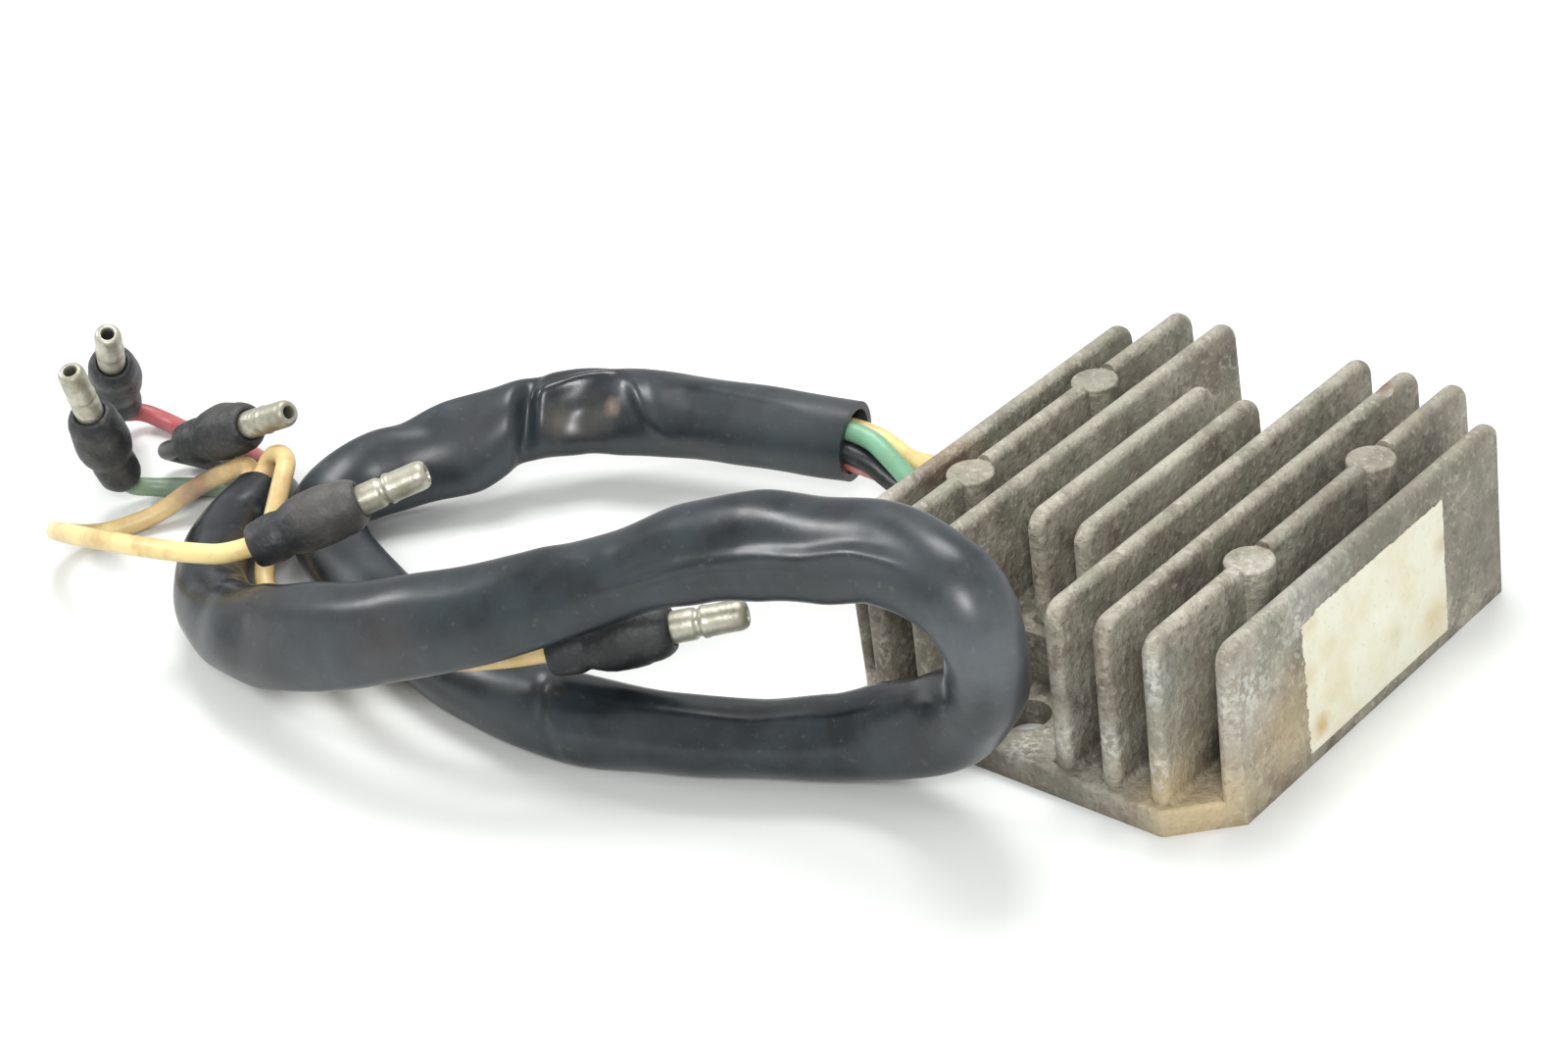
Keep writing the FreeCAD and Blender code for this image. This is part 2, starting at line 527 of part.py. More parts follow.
def boot(rear, tip):
    """Soft boot: a tail round the lead, a groove, and a full body that closes round the bullet's foot."""
    heel = (BOOT_REAR_RADIUS, 0)
    tail = (BOOT_TAIL_RADIUS, BOOT_TAIL_LENGTH / 2)
    groove = (BOOT_GROOVE_RADIUS, BOOT_TAIL_LENGTH)
    widest = (BOOT_BODY_RADIUS, BOOT_TAIL_LENGTH + BOOT_BODY_SHARE * (BOOT_LENGTH - BOOT_TAIL_LENGTH))
    mouth = (BOOT_MOUTH_RADIUS, BOOT_LENGTH)
    foot = BOOT_LENGTH - BOOT_MOUTH_DEPTH
    bore = [mouth, (BULLET_RADIUS + SLIP_FIT, BOOT_LENGTH), (BULLET_RADIUS + SLIP_FIT, foot),
            (BARREL_RADIUS + SLIP_FIT, foot), (BARREL_RADIUS + SLIP_FIT, LEAD_SOCKET),
            (LEAD_RADIUS + SLIP_FIT, LEAD_SOCKET), (LEAD_RADIUS + SLIP_FIT, 0), heel]
    return turned([bulge(heel, tail, groove), bulge(groove, widest, mouth)] + profile(bore), rear, tip)


def bullet(rear, tip):
    """Brass bullet terminal: crimp barrel in the boot, foot, groove and hollow round-nosed head."""
    foot = BOOT_LENGTH - BOOT_MOUTH_DEPTH
    groove = BOOT_LENGTH + BULLET_BASE_LENGTH
    head = groove + BULLET_GROOVE_WIDTH
    end = head + BULLET_HEAD_LENGTH
    shoulder = (BULLET_HEAD_RADIUS, end - BULLET_NOSE_RADIUS)
    curve = BULLET_NOSE_RADIUS * (1 - math.sqrt(0.5))
    rim = (BULLET_HEAD_RADIUS - BULLET_NOSE_RADIUS, end)
    body = [(BULLET_HOLE_RADIUS, end - BULLET_HOLE_DEPTH), (0, end - BULLET_HOLE_DEPTH), (0, LEAD_SOCKET),
            (BARREL_RADIUS, LEAD_SOCKET), (BARREL_RADIUS, foot), (BULLET_RADIUS, foot),
            (BULLET_RADIUS, groove), (BULLET_GROOVE_RADIUS, groove), (BULLET_GROOVE_RADIUS, head),
            (BULLET_HEAD_RADIUS, head), shoulder]
    nose = bulge(shoulder, (BULLET_HEAD_RADIUS - curve, end - curve), rim)
    hole = [rim, (BULLET_HOLE_RADIUS, end), body[0]]
    return turned(profile(body) + [nose] + profile(hole), rear, tip)


def potting(inner):
    """Resin that fills the cavity and the notch round everything that is cast into it."""
    wall = -BASE_WIDTH / 2 + TONGUE_RECESS
    resin = cavity(POTTING_RECESS).fuse(notch(wall, POTTING_RECESS)).removeSplitter()
    return resin.cut(inner).Solids[0]


def report_cord(name, solid, length, radius, radii):
    share = solid.Volume / (math.pi * radius ** 2 * length)
    print("%s: length %.1f, volume / (section x length) %.4f, arc radii %s" % (
        name, length, share, " ".join("%.1f" % value for value in radii)))


def build():
    """Every piece of the unit by node name."""
    nodes = {"heat_sink": heat_sink(), "label": label()}
    sleeve_points = [V(*point) for point in SLEEVE_ROUTE]
    nodes["harness_sleeve"], length, radii = sleeve(sleeve_points)
    report_cord("harness_sleeve", nodes["harness_sleeve"], length, SLEEVE_RADIUS, radii)
    cast_in = circuit()
    nodes.update(cast_in)
    for slot, (colour, (angle, free)) in enumerate(UNIT_LEADS.items()):
        points = unit_lead_points(sleeve_points, slot, angle, free)
        solid, length, radii = swept_tube(points, LEAD_RADIUS)
        report_cord("unit_lead_" + colour, solid, length, LEAD_RADIUS, radii)
        nodes["unit_lead_" + colour] = solid
        cast_in["unit_lead_" + colour] = solid
    nodes["potting"] = potting(list(cast_in.values()))
    for colour, (angle, free, rear, tip, run) in PLUG_LEADS.items():
        points = plug_lead_points(sleeve_points, angle, free, rear, tip, run)
        solid, length, radii = swept_tube(points, LEAD_RADIUS)
        report_cord("plug_lead_" + colour, solid, length, LEAD_RADIUS, radii)
        nodes["plug_lead_" + colour] = solid
        nodes["boot_" + colour] = boot(rear, tip)
        nodes["bullet_" + colour] = bullet(rear, tip)
    return nodes


def main():
    os.makedirs("parts", exist_ok=True)
    for name, shape in build().items():
        shape.exportStep("parts/%s.step" % name)


main()
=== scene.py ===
import bpy
import math
from mathutils import Matrix, Vector, noise


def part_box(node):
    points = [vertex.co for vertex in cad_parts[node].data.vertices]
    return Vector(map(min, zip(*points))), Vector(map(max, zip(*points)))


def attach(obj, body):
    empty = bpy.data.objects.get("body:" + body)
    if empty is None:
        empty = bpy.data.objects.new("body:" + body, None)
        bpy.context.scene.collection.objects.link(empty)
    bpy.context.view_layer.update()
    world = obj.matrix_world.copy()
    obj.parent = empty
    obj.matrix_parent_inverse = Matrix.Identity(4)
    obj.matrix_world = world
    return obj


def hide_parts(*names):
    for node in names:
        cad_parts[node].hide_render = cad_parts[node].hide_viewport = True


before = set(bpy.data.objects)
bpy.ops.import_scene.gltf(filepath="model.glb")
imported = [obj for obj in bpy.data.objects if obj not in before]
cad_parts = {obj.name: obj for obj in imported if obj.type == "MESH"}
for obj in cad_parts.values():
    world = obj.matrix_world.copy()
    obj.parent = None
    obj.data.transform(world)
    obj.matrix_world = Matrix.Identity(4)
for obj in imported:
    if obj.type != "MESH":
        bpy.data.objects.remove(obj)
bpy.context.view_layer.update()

bl_info = {
    "name": "Voltage Regulator Rectifier",
    "version": (1, 0, 0),
    "blender": (4, 5, 0),
    "location": "3D View > Sidebar > Regulator",
    "description": "Builds a worn finned regulator rectifier with its sleeved lead harness",
    "category": "Add Mesh",
}

MM = 0.001
BODY = "root"

# Camera of the photograph, in metres and degrees
CAMERA_PLACE = Vector((0.217863, -0.276881, 0.236843))
CAMERA_YAW = 46.253
CAMERA_PITCH = 31.012
CAMERA_ROLL = 9.330
LINE_OF_SIGHT = Vector((-0.6191, 0.5926, -0.5152))
SENSOR_WIDTH = 36.0             # in millimetres
CLIP_START = 0.01

FLOOR_SIZE = 6                  # side of the white board, in metres

# Places that the harness shares with the solids
BUNDLE_RADIUS = 2.55 * MM
MOUTH_RUN = 1.5 * MM
LEAD_PITCH = 3.2 * MM
LEAD_HEIGHT = 2.1 * MM
LEAD_SOCKET = 2.5 * MM
NOTCH_CENTRE = 8.0 * MM
RUN_OUTER_X = -36.203 * MM      # outer end of the leads' straight run, 6 mm outside the wall
LEAD_END_X = -21.5 * MM

# Middle line of the sleeve, from the mouth at the unit to the mouth at the plugs
SLEEVE_ROUTE = [
    (-0.0575, 0.003, 0.012), (-0.071, -0.0005, 0.0125), (-0.085, -0.003, 0.012),
    (-0.097, -0.006, 0.0115), (-0.1045, -0.0125, 0.011), (-0.1095, -0.02, 0.01),
    (-0.1165, -0.028, 0.0085), (-0.1235, -0.035, 0.007), (-0.1225, -0.043, 0.006),
    (-0.111, -0.05, 0.0055), (-0.093, -0.056, 0.0055), (-0.0745, -0.0605, 0.0055),
    (-0.0565, -0.0615, 0.0055), (-0.0405, -0.0575, 0.0055), (-0.0275, -0.0515, 0.0055),
    (-0.0155, -0.046, 0.0065), (-0.0025, -0.045, 0.012), (0.0075, -0.046, 0.0215),
    (0.0105, -0.048, 0.032), (0.0065, -0.0495, 0.0385), (-0.0055, -0.048, 0.039),
    (-0.0205, -0.0485, 0.036), (-0.035, -0.0525, 0.0315), (-0.045, -0.0605, 0.028),
    (-0.0555, -0.069, 0.025), (-0.0685, -0.075, 0.0215), (-0.0865, -0.077, 0.0155),
    (-0.1055, -0.0745, 0.0095), (-0.122, -0.066, 0.007), (-0.13, -0.0555, 0.007),
    (-0.1325, -0.0465, 0.007)]

# Each lead: its seat in the bundle in degrees and its free points, between the unit and the sleeve
UNIT_LEADS = {
    "green": (80, [(-0.0495, 0.0019, 0.0118), (-0.0425, 0.0012, 0.006)]),
    "black": (8, [(-0.0495, 0.002, 0.0073), (-0.0425, 0.0046, 0.0033)]),
    "yellow_1": (152, [(-0.0495, 0.0052, 0.0101), (-0.0425, 0.0077, 0.0058)]),
    "red": (296, [(-0.0495, 0.0054, 0.0049), (-0.0425, 0.0109, 0.003)]),
    "yellow_2": (224, [(-0.0495, 0.0094, 0.007), (-0.0425, 0.0142, 0.005)])}

# The same between the sleeve and each plug, then the plug's rear end, its tip and the run behind it
PLUG_LEADS = {
    "red": (18, [
        (-0.1342, -0.0405, 0.0079), (-0.14, -0.0383, 0.0068), (-0.147, -0.036, 0.0055),
        (-0.155, -0.0342, 0.0046), (-0.162, -0.033, 0.0022), (-0.1685, -0.0322, 0.0016),
        (-0.1745, -0.0318, 0.0017), (-0.1792, -0.033, 0.003)],
        (-0.177, -0.038, 0.007), (-0.162, -0.0455, 0.0275), 0.003),
    "green": (234, [
        (-0.136, -0.0415, 0.0036), (-0.1415, -0.04, 0.0018), (-0.148, -0.0405, 0.0016),
        (-0.154, -0.043, 0.0016), (-0.159, -0.0465, 0.0018)],
        (-0.1605, -0.051, 0.0055), (-0.1535, -0.0585, 0.03), 0.0018),
    "black": (306, [
        (-0.1334, -0.0398, 0.0046), (-0.139, -0.0366, 0.0032), (-0.1465, -0.0358, 0.0022),
        (-0.1535, -0.036, 0.0018), (-0.159, -0.037, 0.0018), (-0.1635, -0.04, 0.0036)],
        (-0.1535, -0.0425, 0.009), (-0.1295, -0.0395, 0.0195), 0.0055),
    "yellow_1": (162, [
        (-0.1382, -0.0422, 0.01), (-0.144, -0.0439, 0.0073), (-0.1485, -0.047, 0.0048),
        (-0.1515, -0.0515, 0.0022), (-0.154, -0.056, 0.0016), (-0.1565, -0.0605, 0.0018),
        (-0.1575, -0.0655, 0.0048), (-0.1525, -0.069, 0.0085), (-0.1435, -0.0715, 0.012),
        (-0.1325, -0.0735, 0.0155), (-0.1215, -0.074, 0.018), (-0.113, -0.072, 0.0185)],
        (-0.1065, -0.0665, 0.0185), (-0.0895, -0.0475, 0.025), 0.003),
    "yellow_2": (90, [
        (-0.1328, -0.042, 0.013), (-0.1276, -0.0428, 0.0144), (-0.1243, -0.0476, 0.0128),
        (-0.122, -0.053, 0.0085), (-0.1195, -0.058, 0.0038), (-0.1125, -0.0615, 0.0026),
        (-0.1015, -0.0645, 0.005), (-0.0875, -0.0678, 0.009), (-0.0745, -0.0698, 0.0125),
        (-0.0635, -0.0678, 0.015)],
        (-0.0545, -0.061, 0.0155), (-0.034, -0.0445, 0.0185), 0.003)}

# How the sleeve is pressed flat: distance from the mouth at the unit, half width as the photograph
# shows it, and shift towards the left of the way along, in millimetres
SLEEVE_FORM = [
    (0, 5.8, -0.2), (20, 6.0, -0.1), (38, 6.4, 0.1), (46, 6.3, -0.5), (55, 6.1, -1.1), (63, 7.0, -0.5),
    (72, 6.3, -0.2), (84, 5.8, -0.1), (100, 5.5, 0), (140, 5.9, -0.2), (160, 5.9, -0.2),
    (175, 5.2, 0.1), (186, 5, 0), (196, 5.5, 0.3), (207, 6.2, 0.7), (216, 6.2, 0.4), (226, 5.3, 0.5),
    (236, 5, 1.1), (246, 5.9, 0), (256, 6.2, 0), (266, 6.5, 0.9), (276, 6.8, 0.2), (286, 6.3, -0.2),
    (295, 5.4, -0.1), (306, 6.1, -0.5), (328, 6.7, -0.5), (345, 7.2, -0.5), (356, 7.1, -0.3),
    (367, 6.2, -0.2), (376, 5.6, -0.2), (386, 5, -0.4), (397, 5.1, -0.2), (410, 5, -0.2)]

# Folds pressed into the sleeve: distance, angle and spread in degrees round it (0 faces the camera and
# 90 is on the right of the way along), slant in millimetres over the spread, then depth (negative
# stands out) and half width in millimetres
FOLDS = [
    (53.2, 0, 120, -4, 2.1, 1.5), (61.5, -35, 85, -4, -0.9, 4.5), (44, 0, 60, -2, 1.6, 6),
    (33.3, 15, 75, 6.4, -0.7, 1.8), (69, 60, 60, 5, 0.5, 3), (84, -90, 60, 4, 0.4, 2.2),
    (92, -90, 60, -3, 0.4, 2.2), (158, 0, 95, 3, 0.5, 0.9), (226, -80, 70, 4, 0.4, 3),
    (236, -90, 70, -3, 0.3, 3), (299, 60, 70, 5, 0.4, 3),
    (374, 70, 55, 4, 0.3, 1.8), (381, 75, 55, 3, 0.35, 1.8),
    (404, 30, 70, 4, 0.4, 1.8)]

# Long ridges of the flattened sleeve: first and last distance, angle there, half width in degrees,
# height in millimetres
RIDGES = [
    (38, 52, 70, 27, 15, 0.6), (245, 302, -10, -14, 16, 0.9), (308, 365, 20, 35, 26, 0.3),
    (5, 32, 30, 48, 22, 0.35), (105, 150, -30, -50, 24, 0.3), (165, 214, -35, -20, 24, 0.3)]

SLEEVE_SEGMENTS = 96
CORD_STEPS = 28                 # steps of a cord between two points of its route
POCKET_MARGIN = 1.0 * MM        # from the leads' ends to the pocket's floor
FLOOR_GAP = 0.1 * MM            # least height of the sleeve's skin above the floor
WAVE_ROUND = 1.2                # radius of the circle in the noise that goes once round the sleeve
WAVE_LENGTH = 10                # millimetres along the sleeve for one step of the noise
FOLD_PEAK = 1.25                # shape of a fold: its middle, and the wider rim that stands the other way
FOLD_RIM = 0.25
FOLD_RIM_SPREAD = 7
RIDGE_DIP = 0.35                # shape of a ridge: the dips beside it, their spread and its sharpness
RIDGE_DIP_SPREAD = 6
RIDGE_SHARPNESS = 2
RIDGE_FADE = 5                  # a ridge fades over one part in so many at each end
LEAD_ROUNDNESS = 6              # Blender's bevel resolution of a lead
SLEEVE_CREASE = math.radians(55)    # sharper edges than this stay sharp in the shading


def colour(code):
    """Linear RGBA of an sRGB hex colour."""
    channels = [int(code[place:place + 2], 16) / 255 for place in (1, 3, 5)]
    linear = [value / 12.92 if value <= 0.04045 else ((value + 0.055) / 1.055) ** 2.4
              for value in channels]
    return (*linear, 1.0)


def chosen(name):
    """Colour that the user has set for a finish."""
    return tuple(getattr(bpy.context.scene.regulator_colours, name))


def add_node(tree, kind, inputs=None, **settings):
    """One node with its settings, and its inputs set to values or joined to other nodes' sockets."""
    node = tree.nodes.new(kind)
    for name, value in settings.items():
        setattr(node, name, value)
    for name, value in (inputs or {}).items():
        if isinstance(value, bpy.types.NodeSocket):
            tree.links.new(value, node.inputs[name])
        else:
            node.inputs[name].default_value = value
    return node


def new_material(name):
    """Empty node material, its tree and the place on the piece that patterns are read from."""
    material = bpy.data.materials.new(name)
    material.use_nodes = True
    tree = material.node_tree
    tree.nodes.clear()
    place = add_node(tree, "ShaderNodeTexCoord").outputs["Object"]
    return material, tree, place


def cloud(tree, place, size, low, high):
    """Cloudy mask whose features are size millimetres across."""
    pattern = add_node(tree, "ShaderNodeTexNoise",
                       {"Vector": place, "Scale": 1 / (size * MM), "Detail": 5.0, "Roughness": 0.6})
    return add_node(tree, "ShaderNodeMapRange",
                    {"Value": pattern.outputs[0], "From Min": low, "From Max": high}).outputs[0]


def patch(tree, place, centre, radius):
    """Mask of a patch round a place in millimetres, with a ragged soft edge."""
    warp = add_node(tree, "ShaderNodeTexNoise",
                    {"Vector": place, "Scale": PATCH_EDGE / (radius * MM), "Detail": 6.0, "Roughness": 0.65})
    away = add_node(tree, "ShaderNodeVectorMath", {0: place, 1: [value * MM for value in centre]},
                    operation="DISTANCE")
    reach = add_node(tree, "ShaderNodeMath",
                     {0: warp.outputs[0], 1: PATCH_RAGGED * radius * MM, 2: away.outputs["Value"]},
                     operation="MULTIPLY_ADD")
    return add_node(tree, "ShaderNodeMapRange",
                    {"Value": reach.outputs[0], "From Min": (1 + PATCH_RAGGED / 2) * radius * MM,
                     "From Max": (PATCH_CORE + PATCH_RAGGED / 2) * radius * MM}).outputs[0]


def coat(tree, base, code, strength, *masks):
    """Colour laid over a base where all its masks meet, up to a strength."""
    share = strength
    for mask in masks:
        share = add_node(tree, "ShaderNodeMath", {0: mask, 1: share}, operation="MULTIPLY").outputs[0]
    return add_node(tree, "ShaderNodeMix", {0: share, 6: base, 7: colour(code)},
                    data_type="RGBA").outputs[2]


def lay_spots(tree, place, base, spots):
    """Stains and painted patches of shade and sheen, each given as centre and radius in millimetres,
    strength and colour.
    """
    for centre, radius, strength, code in spots:
        base = coat(tree, base, code, strength, patch(tree, place, centre, radius))
    return base


def crests(tree, place):
    """Masks of what lies near the height of the fins' crests, and of what faces upwards."""
    normal = add_node(tree, "ShaderNodeNewGeometry").outputs["Normal"]
    upward = add_node(tree, "ShaderNodeSeparateXYZ", {0: normal}).outputs["Z"]
    height = add_node(tree, "ShaderNodeSeparateXYZ", {0: place}).outputs["Z"]
    near_top = add_node(tree, "ShaderNodeMapRange", {"Value": height, "From Min": CREST_FOOT,
                                                     "From Max": CREST_TOP}).outputs[0]
    level = add_node(tree, "ShaderNodeMapRange", {"Value": upward, "From Min": LEVEL_LEAST,
                                                  "From Max": LEVEL_FULL}).outputs[0]
    return near_top, level


def hollow_shade_and_dirt(tree):
    """Mask of inner corners from ambient occlusion: painted shade, and dirt that isn't washed or rubbed off
    there.
    """
    open_air = add_node(tree, "ShaderNodeAmbientOcclusion", {"Distance": HOLLOW_REACH},
                        samples=HOLLOW_SAMPLES).outputs["AO"]
    return add_node(tree, "ShaderNodeMapRange", {"Value": open_air, "From Min": HOLLOW_OPEN,
                                                 "From Max": HOLLOW_SHUT}).outputs[0]


def shade(tree, base, rough, height, depth, metallic=0.0):
    """Ends a material: its shader, with relief of a depth in millimetres. Roughness is a value, or
    a mask with the values at its ends."""
    if isinstance(rough, tuple):
        mask, at_none, at_full = rough
        rough = add_node(tree, "ShaderNodeMapRange", {"Value": mask, "To Min": at_none,
                                                      "To Max": at_full}).outputs[0]
    bump = add_node(tree, "ShaderNodeBump", {"Height": height, "Distance": depth * MM, "Strength": 1.0})
    shader = add_node(tree, "ShaderNodeBsdfPrincipled",
                      {"Base Color": base, "Roughness": rough, "Metallic": metallic,
                       "Normal": bump.outputs[0]})
    add_node(tree, "ShaderNodeOutputMaterial", {"Surface": shader.outputs[0]})


PATCH_EDGE = 2.2                # ragged bays in a patch's radius
PATCH_RAGGED = 0.9              # their depth, as a share of the radius
CREST_FOOT = 23.5 * MM
CREST_TOP = 25.8 * MM
LEVEL_LEAST = 0.2               # upward part of a face's normal where it starts to count as level
LEVEL_FULL = 0.9
HOLLOW_REACH = 6 * MM
HOLLOW_OPEN = 0.65              # share of open air from which a point has neither painted shade nor dirt
HOLLOW_SHUT = 0.15              # share at which its painted shade and dirt are full
HOLLOW_SAMPLES = 8
PATCH_CORE = 0.1                # share of the radius that has full strength, on average

# Stains of the casting, and painted shade with grime along the base's front face: centre and radius in
# millimetres, strength and colour
CASTING_STAINS_AND_SHADE = [
    ((29.5, 3, 27), 17, 0.7, "#6a665c"), ((31, 26, 14), 15, 0.6, "#6d675d"),
    ((30, 27, 8), 8, 0.4, "#625a54"), ((31, -12, 24), 9, 0.3, "#8b8a84"),
    ((31, -20, 8), 11, 0.55, "#b7a27c"), ((27, -36, 2), 13, 0.8, "#c6b086"),
    ((22, -32, 4), 6, 0.5, "#a39375"), ((31, -27, 17), 9, 0.45, "#b3aca0"),
    ((30, -13, 24), 6, 0.15, "#b9bcbd"), ((23, -34, 20), 6, 0.3, "#a9adb0"),
    ((14, -35, 23), 4, 0.6, "#6c5347"), ((14, -35, 12), 7, 0.4, "#615b57"),
    ((6, -35, 14), 6, 0.4, "#5d5854"), ((23, -35, 12), 5, 0.4, "#77736c"),
    # The next four darken the base's front face along the floor: painted shade, with grime
    ((8, -38, 1.5), 9, 0.75, "#5c5850"), ((-4, -37.5, 1.5), 9, 0.75, "#5a564f"),
    ((17, -38.5, 1), 6, 0.6, "#6b6458"), ((-18, -37, 1.5), 10, 0.6, "#5a564f"),
    ((13.6, 28.6, 27), 2.2, 0.8, "#6b4e40"), ((-13, 24, 19), 2.4, 0.8, "#4f4c49"),
    ((21.6, -10, 26), 1.8, 0.6, "#6f5546"), ((-13, -20, 8), 6, 0.5, "#6a6056"),
    ((-27, -10, 22), 8, 0.5, "#8a6a4a"), ((-22, 22, 27), 9, 0.35, "#7c786d"),
    ((5, 30, 24), 5, 0.4, "#7a5d4c"), ((-4, -4, 27), 12, 0.35, "#aaa79a"),
    ((-10, 8, 27), 12, 0.35, "#a9a79a"), ((0, 0, 14), 14, 0.25, "#847f73"),
    ((1.2, 0, 27), 8, 0.5, "#b9b6a6"), ((22.9, -30, 14), 9, 0.4, "#a09a88"),
    ((-21.6, 13.4, 26.5), 3.5, 0.5, "#8f8c80")]
# White crust: centre and radius in millimetres
CASTING_CRUST = [
    ((15, -36, 10), 4.5), ((8, -36, 8), 4), ((31, -27, 18), 8), ((22, -36, 22), 5), ((22, -36, 9), 4),
    ((30, -16.5, 22.5), 4.5), ((0.5, -34, 5), 4), ((22.5, -16, 26), 4), ((-6, -28, 10), 4)]
# Stains of the sleeve, with one painted sheen, the label, the first yellow plug lead and the boots, listed
# like the casting's
SLEEVE_STAINS_AND_SHEEN = [
    ((-106, -20.6, 9.7), 1.7, 0.75, "#a3977f"), ((-100.8, -13.6, 12.3), 3.2, 0.5, "#6f6a5e"),
    ((-94.2, -8.6, 13.9), 1.9, 0.65, "#94806f"), ((-96.5, -11, 13), 5, 0.4, "#5b544d"),
    ((-109, -23, 13), 7, 0.3, "#4a4541"), ((-66, -77, 22), 8, 0.35, "#4b403c"),
    # The last entry lightens the top of the right-hand turn: a painted sheen
    ((-104, -82, 14), 8, 0.1, "#4a4b45"), ((12, -50, 33), 10, 0.45, "#70757a")]
LABEL_STAINS = [
    ((30, -12.8, 4.6), 2.2, 0.8, "#b58a45"), ((30, -15, 13), 2.6, 0.5, "#c4b189"),
    ((30, -14, 20), 2.6, 0.45, "#c2a97c"), ((30, 4, 8), 2.6, 0.3, "#a9a28a"),
    ((30, 13, 5), 5, 0.5, "#c2a976"), ((30, 15.4, 15), 2.4, 0.45, "#a58a5a"),
    ((30, -9, 9), 4, 0.35, "#cdbf92"), ((30, 2, 13), 9, 0.35, "#e6e9dd")]
YELLOW_SOIL = [
    ((-148, -46, 5), 8, 0.95, "#866a5b"), ((-153, -53, 3), 6, 0.7, "#a0835c"),
    ((-140, -42, 9), 4, 0.6, "#9b7f60")]
BOOT_STAINS = [
    ((-98, -57, 24), 9, 0.35, "#77716a"), ((-142, -41, 17), 6, 0.25, "#5c5955"),
    ((-46, -58, 18), 11, 0.9, "#0a0d0f")]


def weathered_casting():
    """Die-cast aluminium after years in the weather: dull grey-brown oxide, with a low metallic share
    because the oxide hides the metal.
    The upward-facing crests are a little lighter, partly rubbed wear and partly painted light from above;
    inner corners carry painted shade with grime."""
    material, tree, place = new_material("weathered_die_cast_aluminium")
    base = coat(tree, chosen("casting"), "#a8a395", 1.0, cloud(tree, place, 14, 0.4, 0.62))
    base = coat(tree, base, "#757a68", 0.55, cloud(tree, place, 8, 0.48, 0.64))
    base = coat(tree, base, "#64564f", 0.65, cloud(tree, place, 5.5, 0.52, 0.66))
    base = coat(tree, base, "#6d6559", 0.45, cloud(tree, place, 2.6, 0.5, 0.62))
    base = coat(tree, base, "#c9c5b8", 0.5, cloud(tree, place, 1.1, 0.54, 0.66))
    base = coat(tree, base, "#443d33", 0.5, cloud(tree, place, 0.9, 0.56, 0.66))
    near_top, level = crests(tree, place)
    wear_and_toplight = cloud(tree, place, 3.2, 0.25, 0.6)
    # Upward-facing crest tops made lighter: rubbed wear, and painted light from above
    base = coat(tree, base, "#a29e91", 0.4, near_top, level, wear_and_toplight)
    base = lay_spots(tree, place, base, CASTING_STAINS_AND_SHADE)
    grains = cloud(tree, place, 0.9, 0.47, 0.58)
    for centre, radius in CASTING_CRUST:
        base = coat(tree, base, "#dcdcd7", 0.6, patch(tree, place, centre, radius), grains)
    # Inner corners darkened by ambient occlusion: painted shade, with grime
    base = coat(tree, base, "#352e26", 0.85, hollow_shade_and_dirt(tree), cloud(tree, place, 4, 0.2, 0.55))
    # Cast skin with pits about 1 mm across
    pits = cloud(tree, place, 1.1, 0.1, 0.9)
    shade(tree, base, (near_top, 0.68, 0.6), pits, 0.35, metallic=0.2)
    return material


def sleeve_vinyl():
    """Extruded plasticised PVC: near-black and glossy where it is clean, greyed and dulled by dust, with a
    painted sheen on top of the right-hand turn.
    """
    material, tree, place = new_material("extruded_black_pvc")
    dust = cloud(tree, place, 24, 0.4, 0.66)
    base = coat(tree, chosen("sleeve"), "#3b4245", 0.6, dust)
    base = coat(tree, base, "#34424a", 0.35, cloud(tree, place, 9, 0.46, 0.7))
    base = lay_spots(tree, place, base, SLEEVE_STAINS_AND_SHEEN)
    base = coat(tree, base, "#87857f", 0.12, cloud(tree, place, 1.4, 0.62, 0.72))
    shade(tree, base, (dust, 0.27, 0.42), cloud(tree, place, 2.2, 0.2, 0.8), 0.015)
    return material


def lead_vinyl(name, clean, soiled, amount, spots=()):
    """Plasticised PVC insulation with a satin skin, soiled by road dirt and oil."""
    material, tree, place = new_material(name)
    base = coat(tree, clean, soiled, amount, cloud(tree, place, 8, 0.44, 0.62))
    base = coat(tree, base, soiled, 0.35, cloud(tree, place, 1.6, 0.55, 0.7))
    base = lay_spots(tree, place, base, spots)
    shade(tree, base, 0.4, cloud(tree, place, 1.0, 0.2, 0.8), 0.04)
    return material


def boot_vinyl():
    """Dip-moulded soft vinyl, matt black, with pale dust rubbed into its skin."""
    material, tree, place = new_material("moulded_black_vinyl")
    base = coat(tree, chosen("boot"), "#55534f", 0.45, cloud(tree, place, 5, 0.46, 0.68))
    base = coat(tree, base, "#77736c", 0.2, cloud(tree, place, 1.1, 0.55, 0.7))
    base = lay_spots(tree, place, base, BOOT_STAINS)
    shade(tree, base, 0.5, cloud(tree, place, 0.9, 0.2, 0.8), 0.1)
    return material


def tinned_brass():
    """Rolled brass with a dull tin plating, scuffed bright in places and greyed by oxide."""
    material, tree, place = new_material("tinned_rolled_brass")
    tarnish = cloud(tree, place, 4, 0.38, 0.64)
    base = coat(tree, chosen("tin"), "#878472", 0.8, tarnish)
    base = coat(tree, base, "#5d584a", 0.35, cloud(tree, place, 1.2, 0.56, 0.7))
    # Inner corners darkened by ambient occlusion: painted shade, with dirt
    base = coat(tree, base, "#3b372e", 0.6, hollow_shade_and_dirt(tree))
    shade(tree, base, (tarnish, 0.32, 0.5), cloud(tree, place, 0.8, 0.2, 0.8), 0.04, metallic=0.6)
    return material


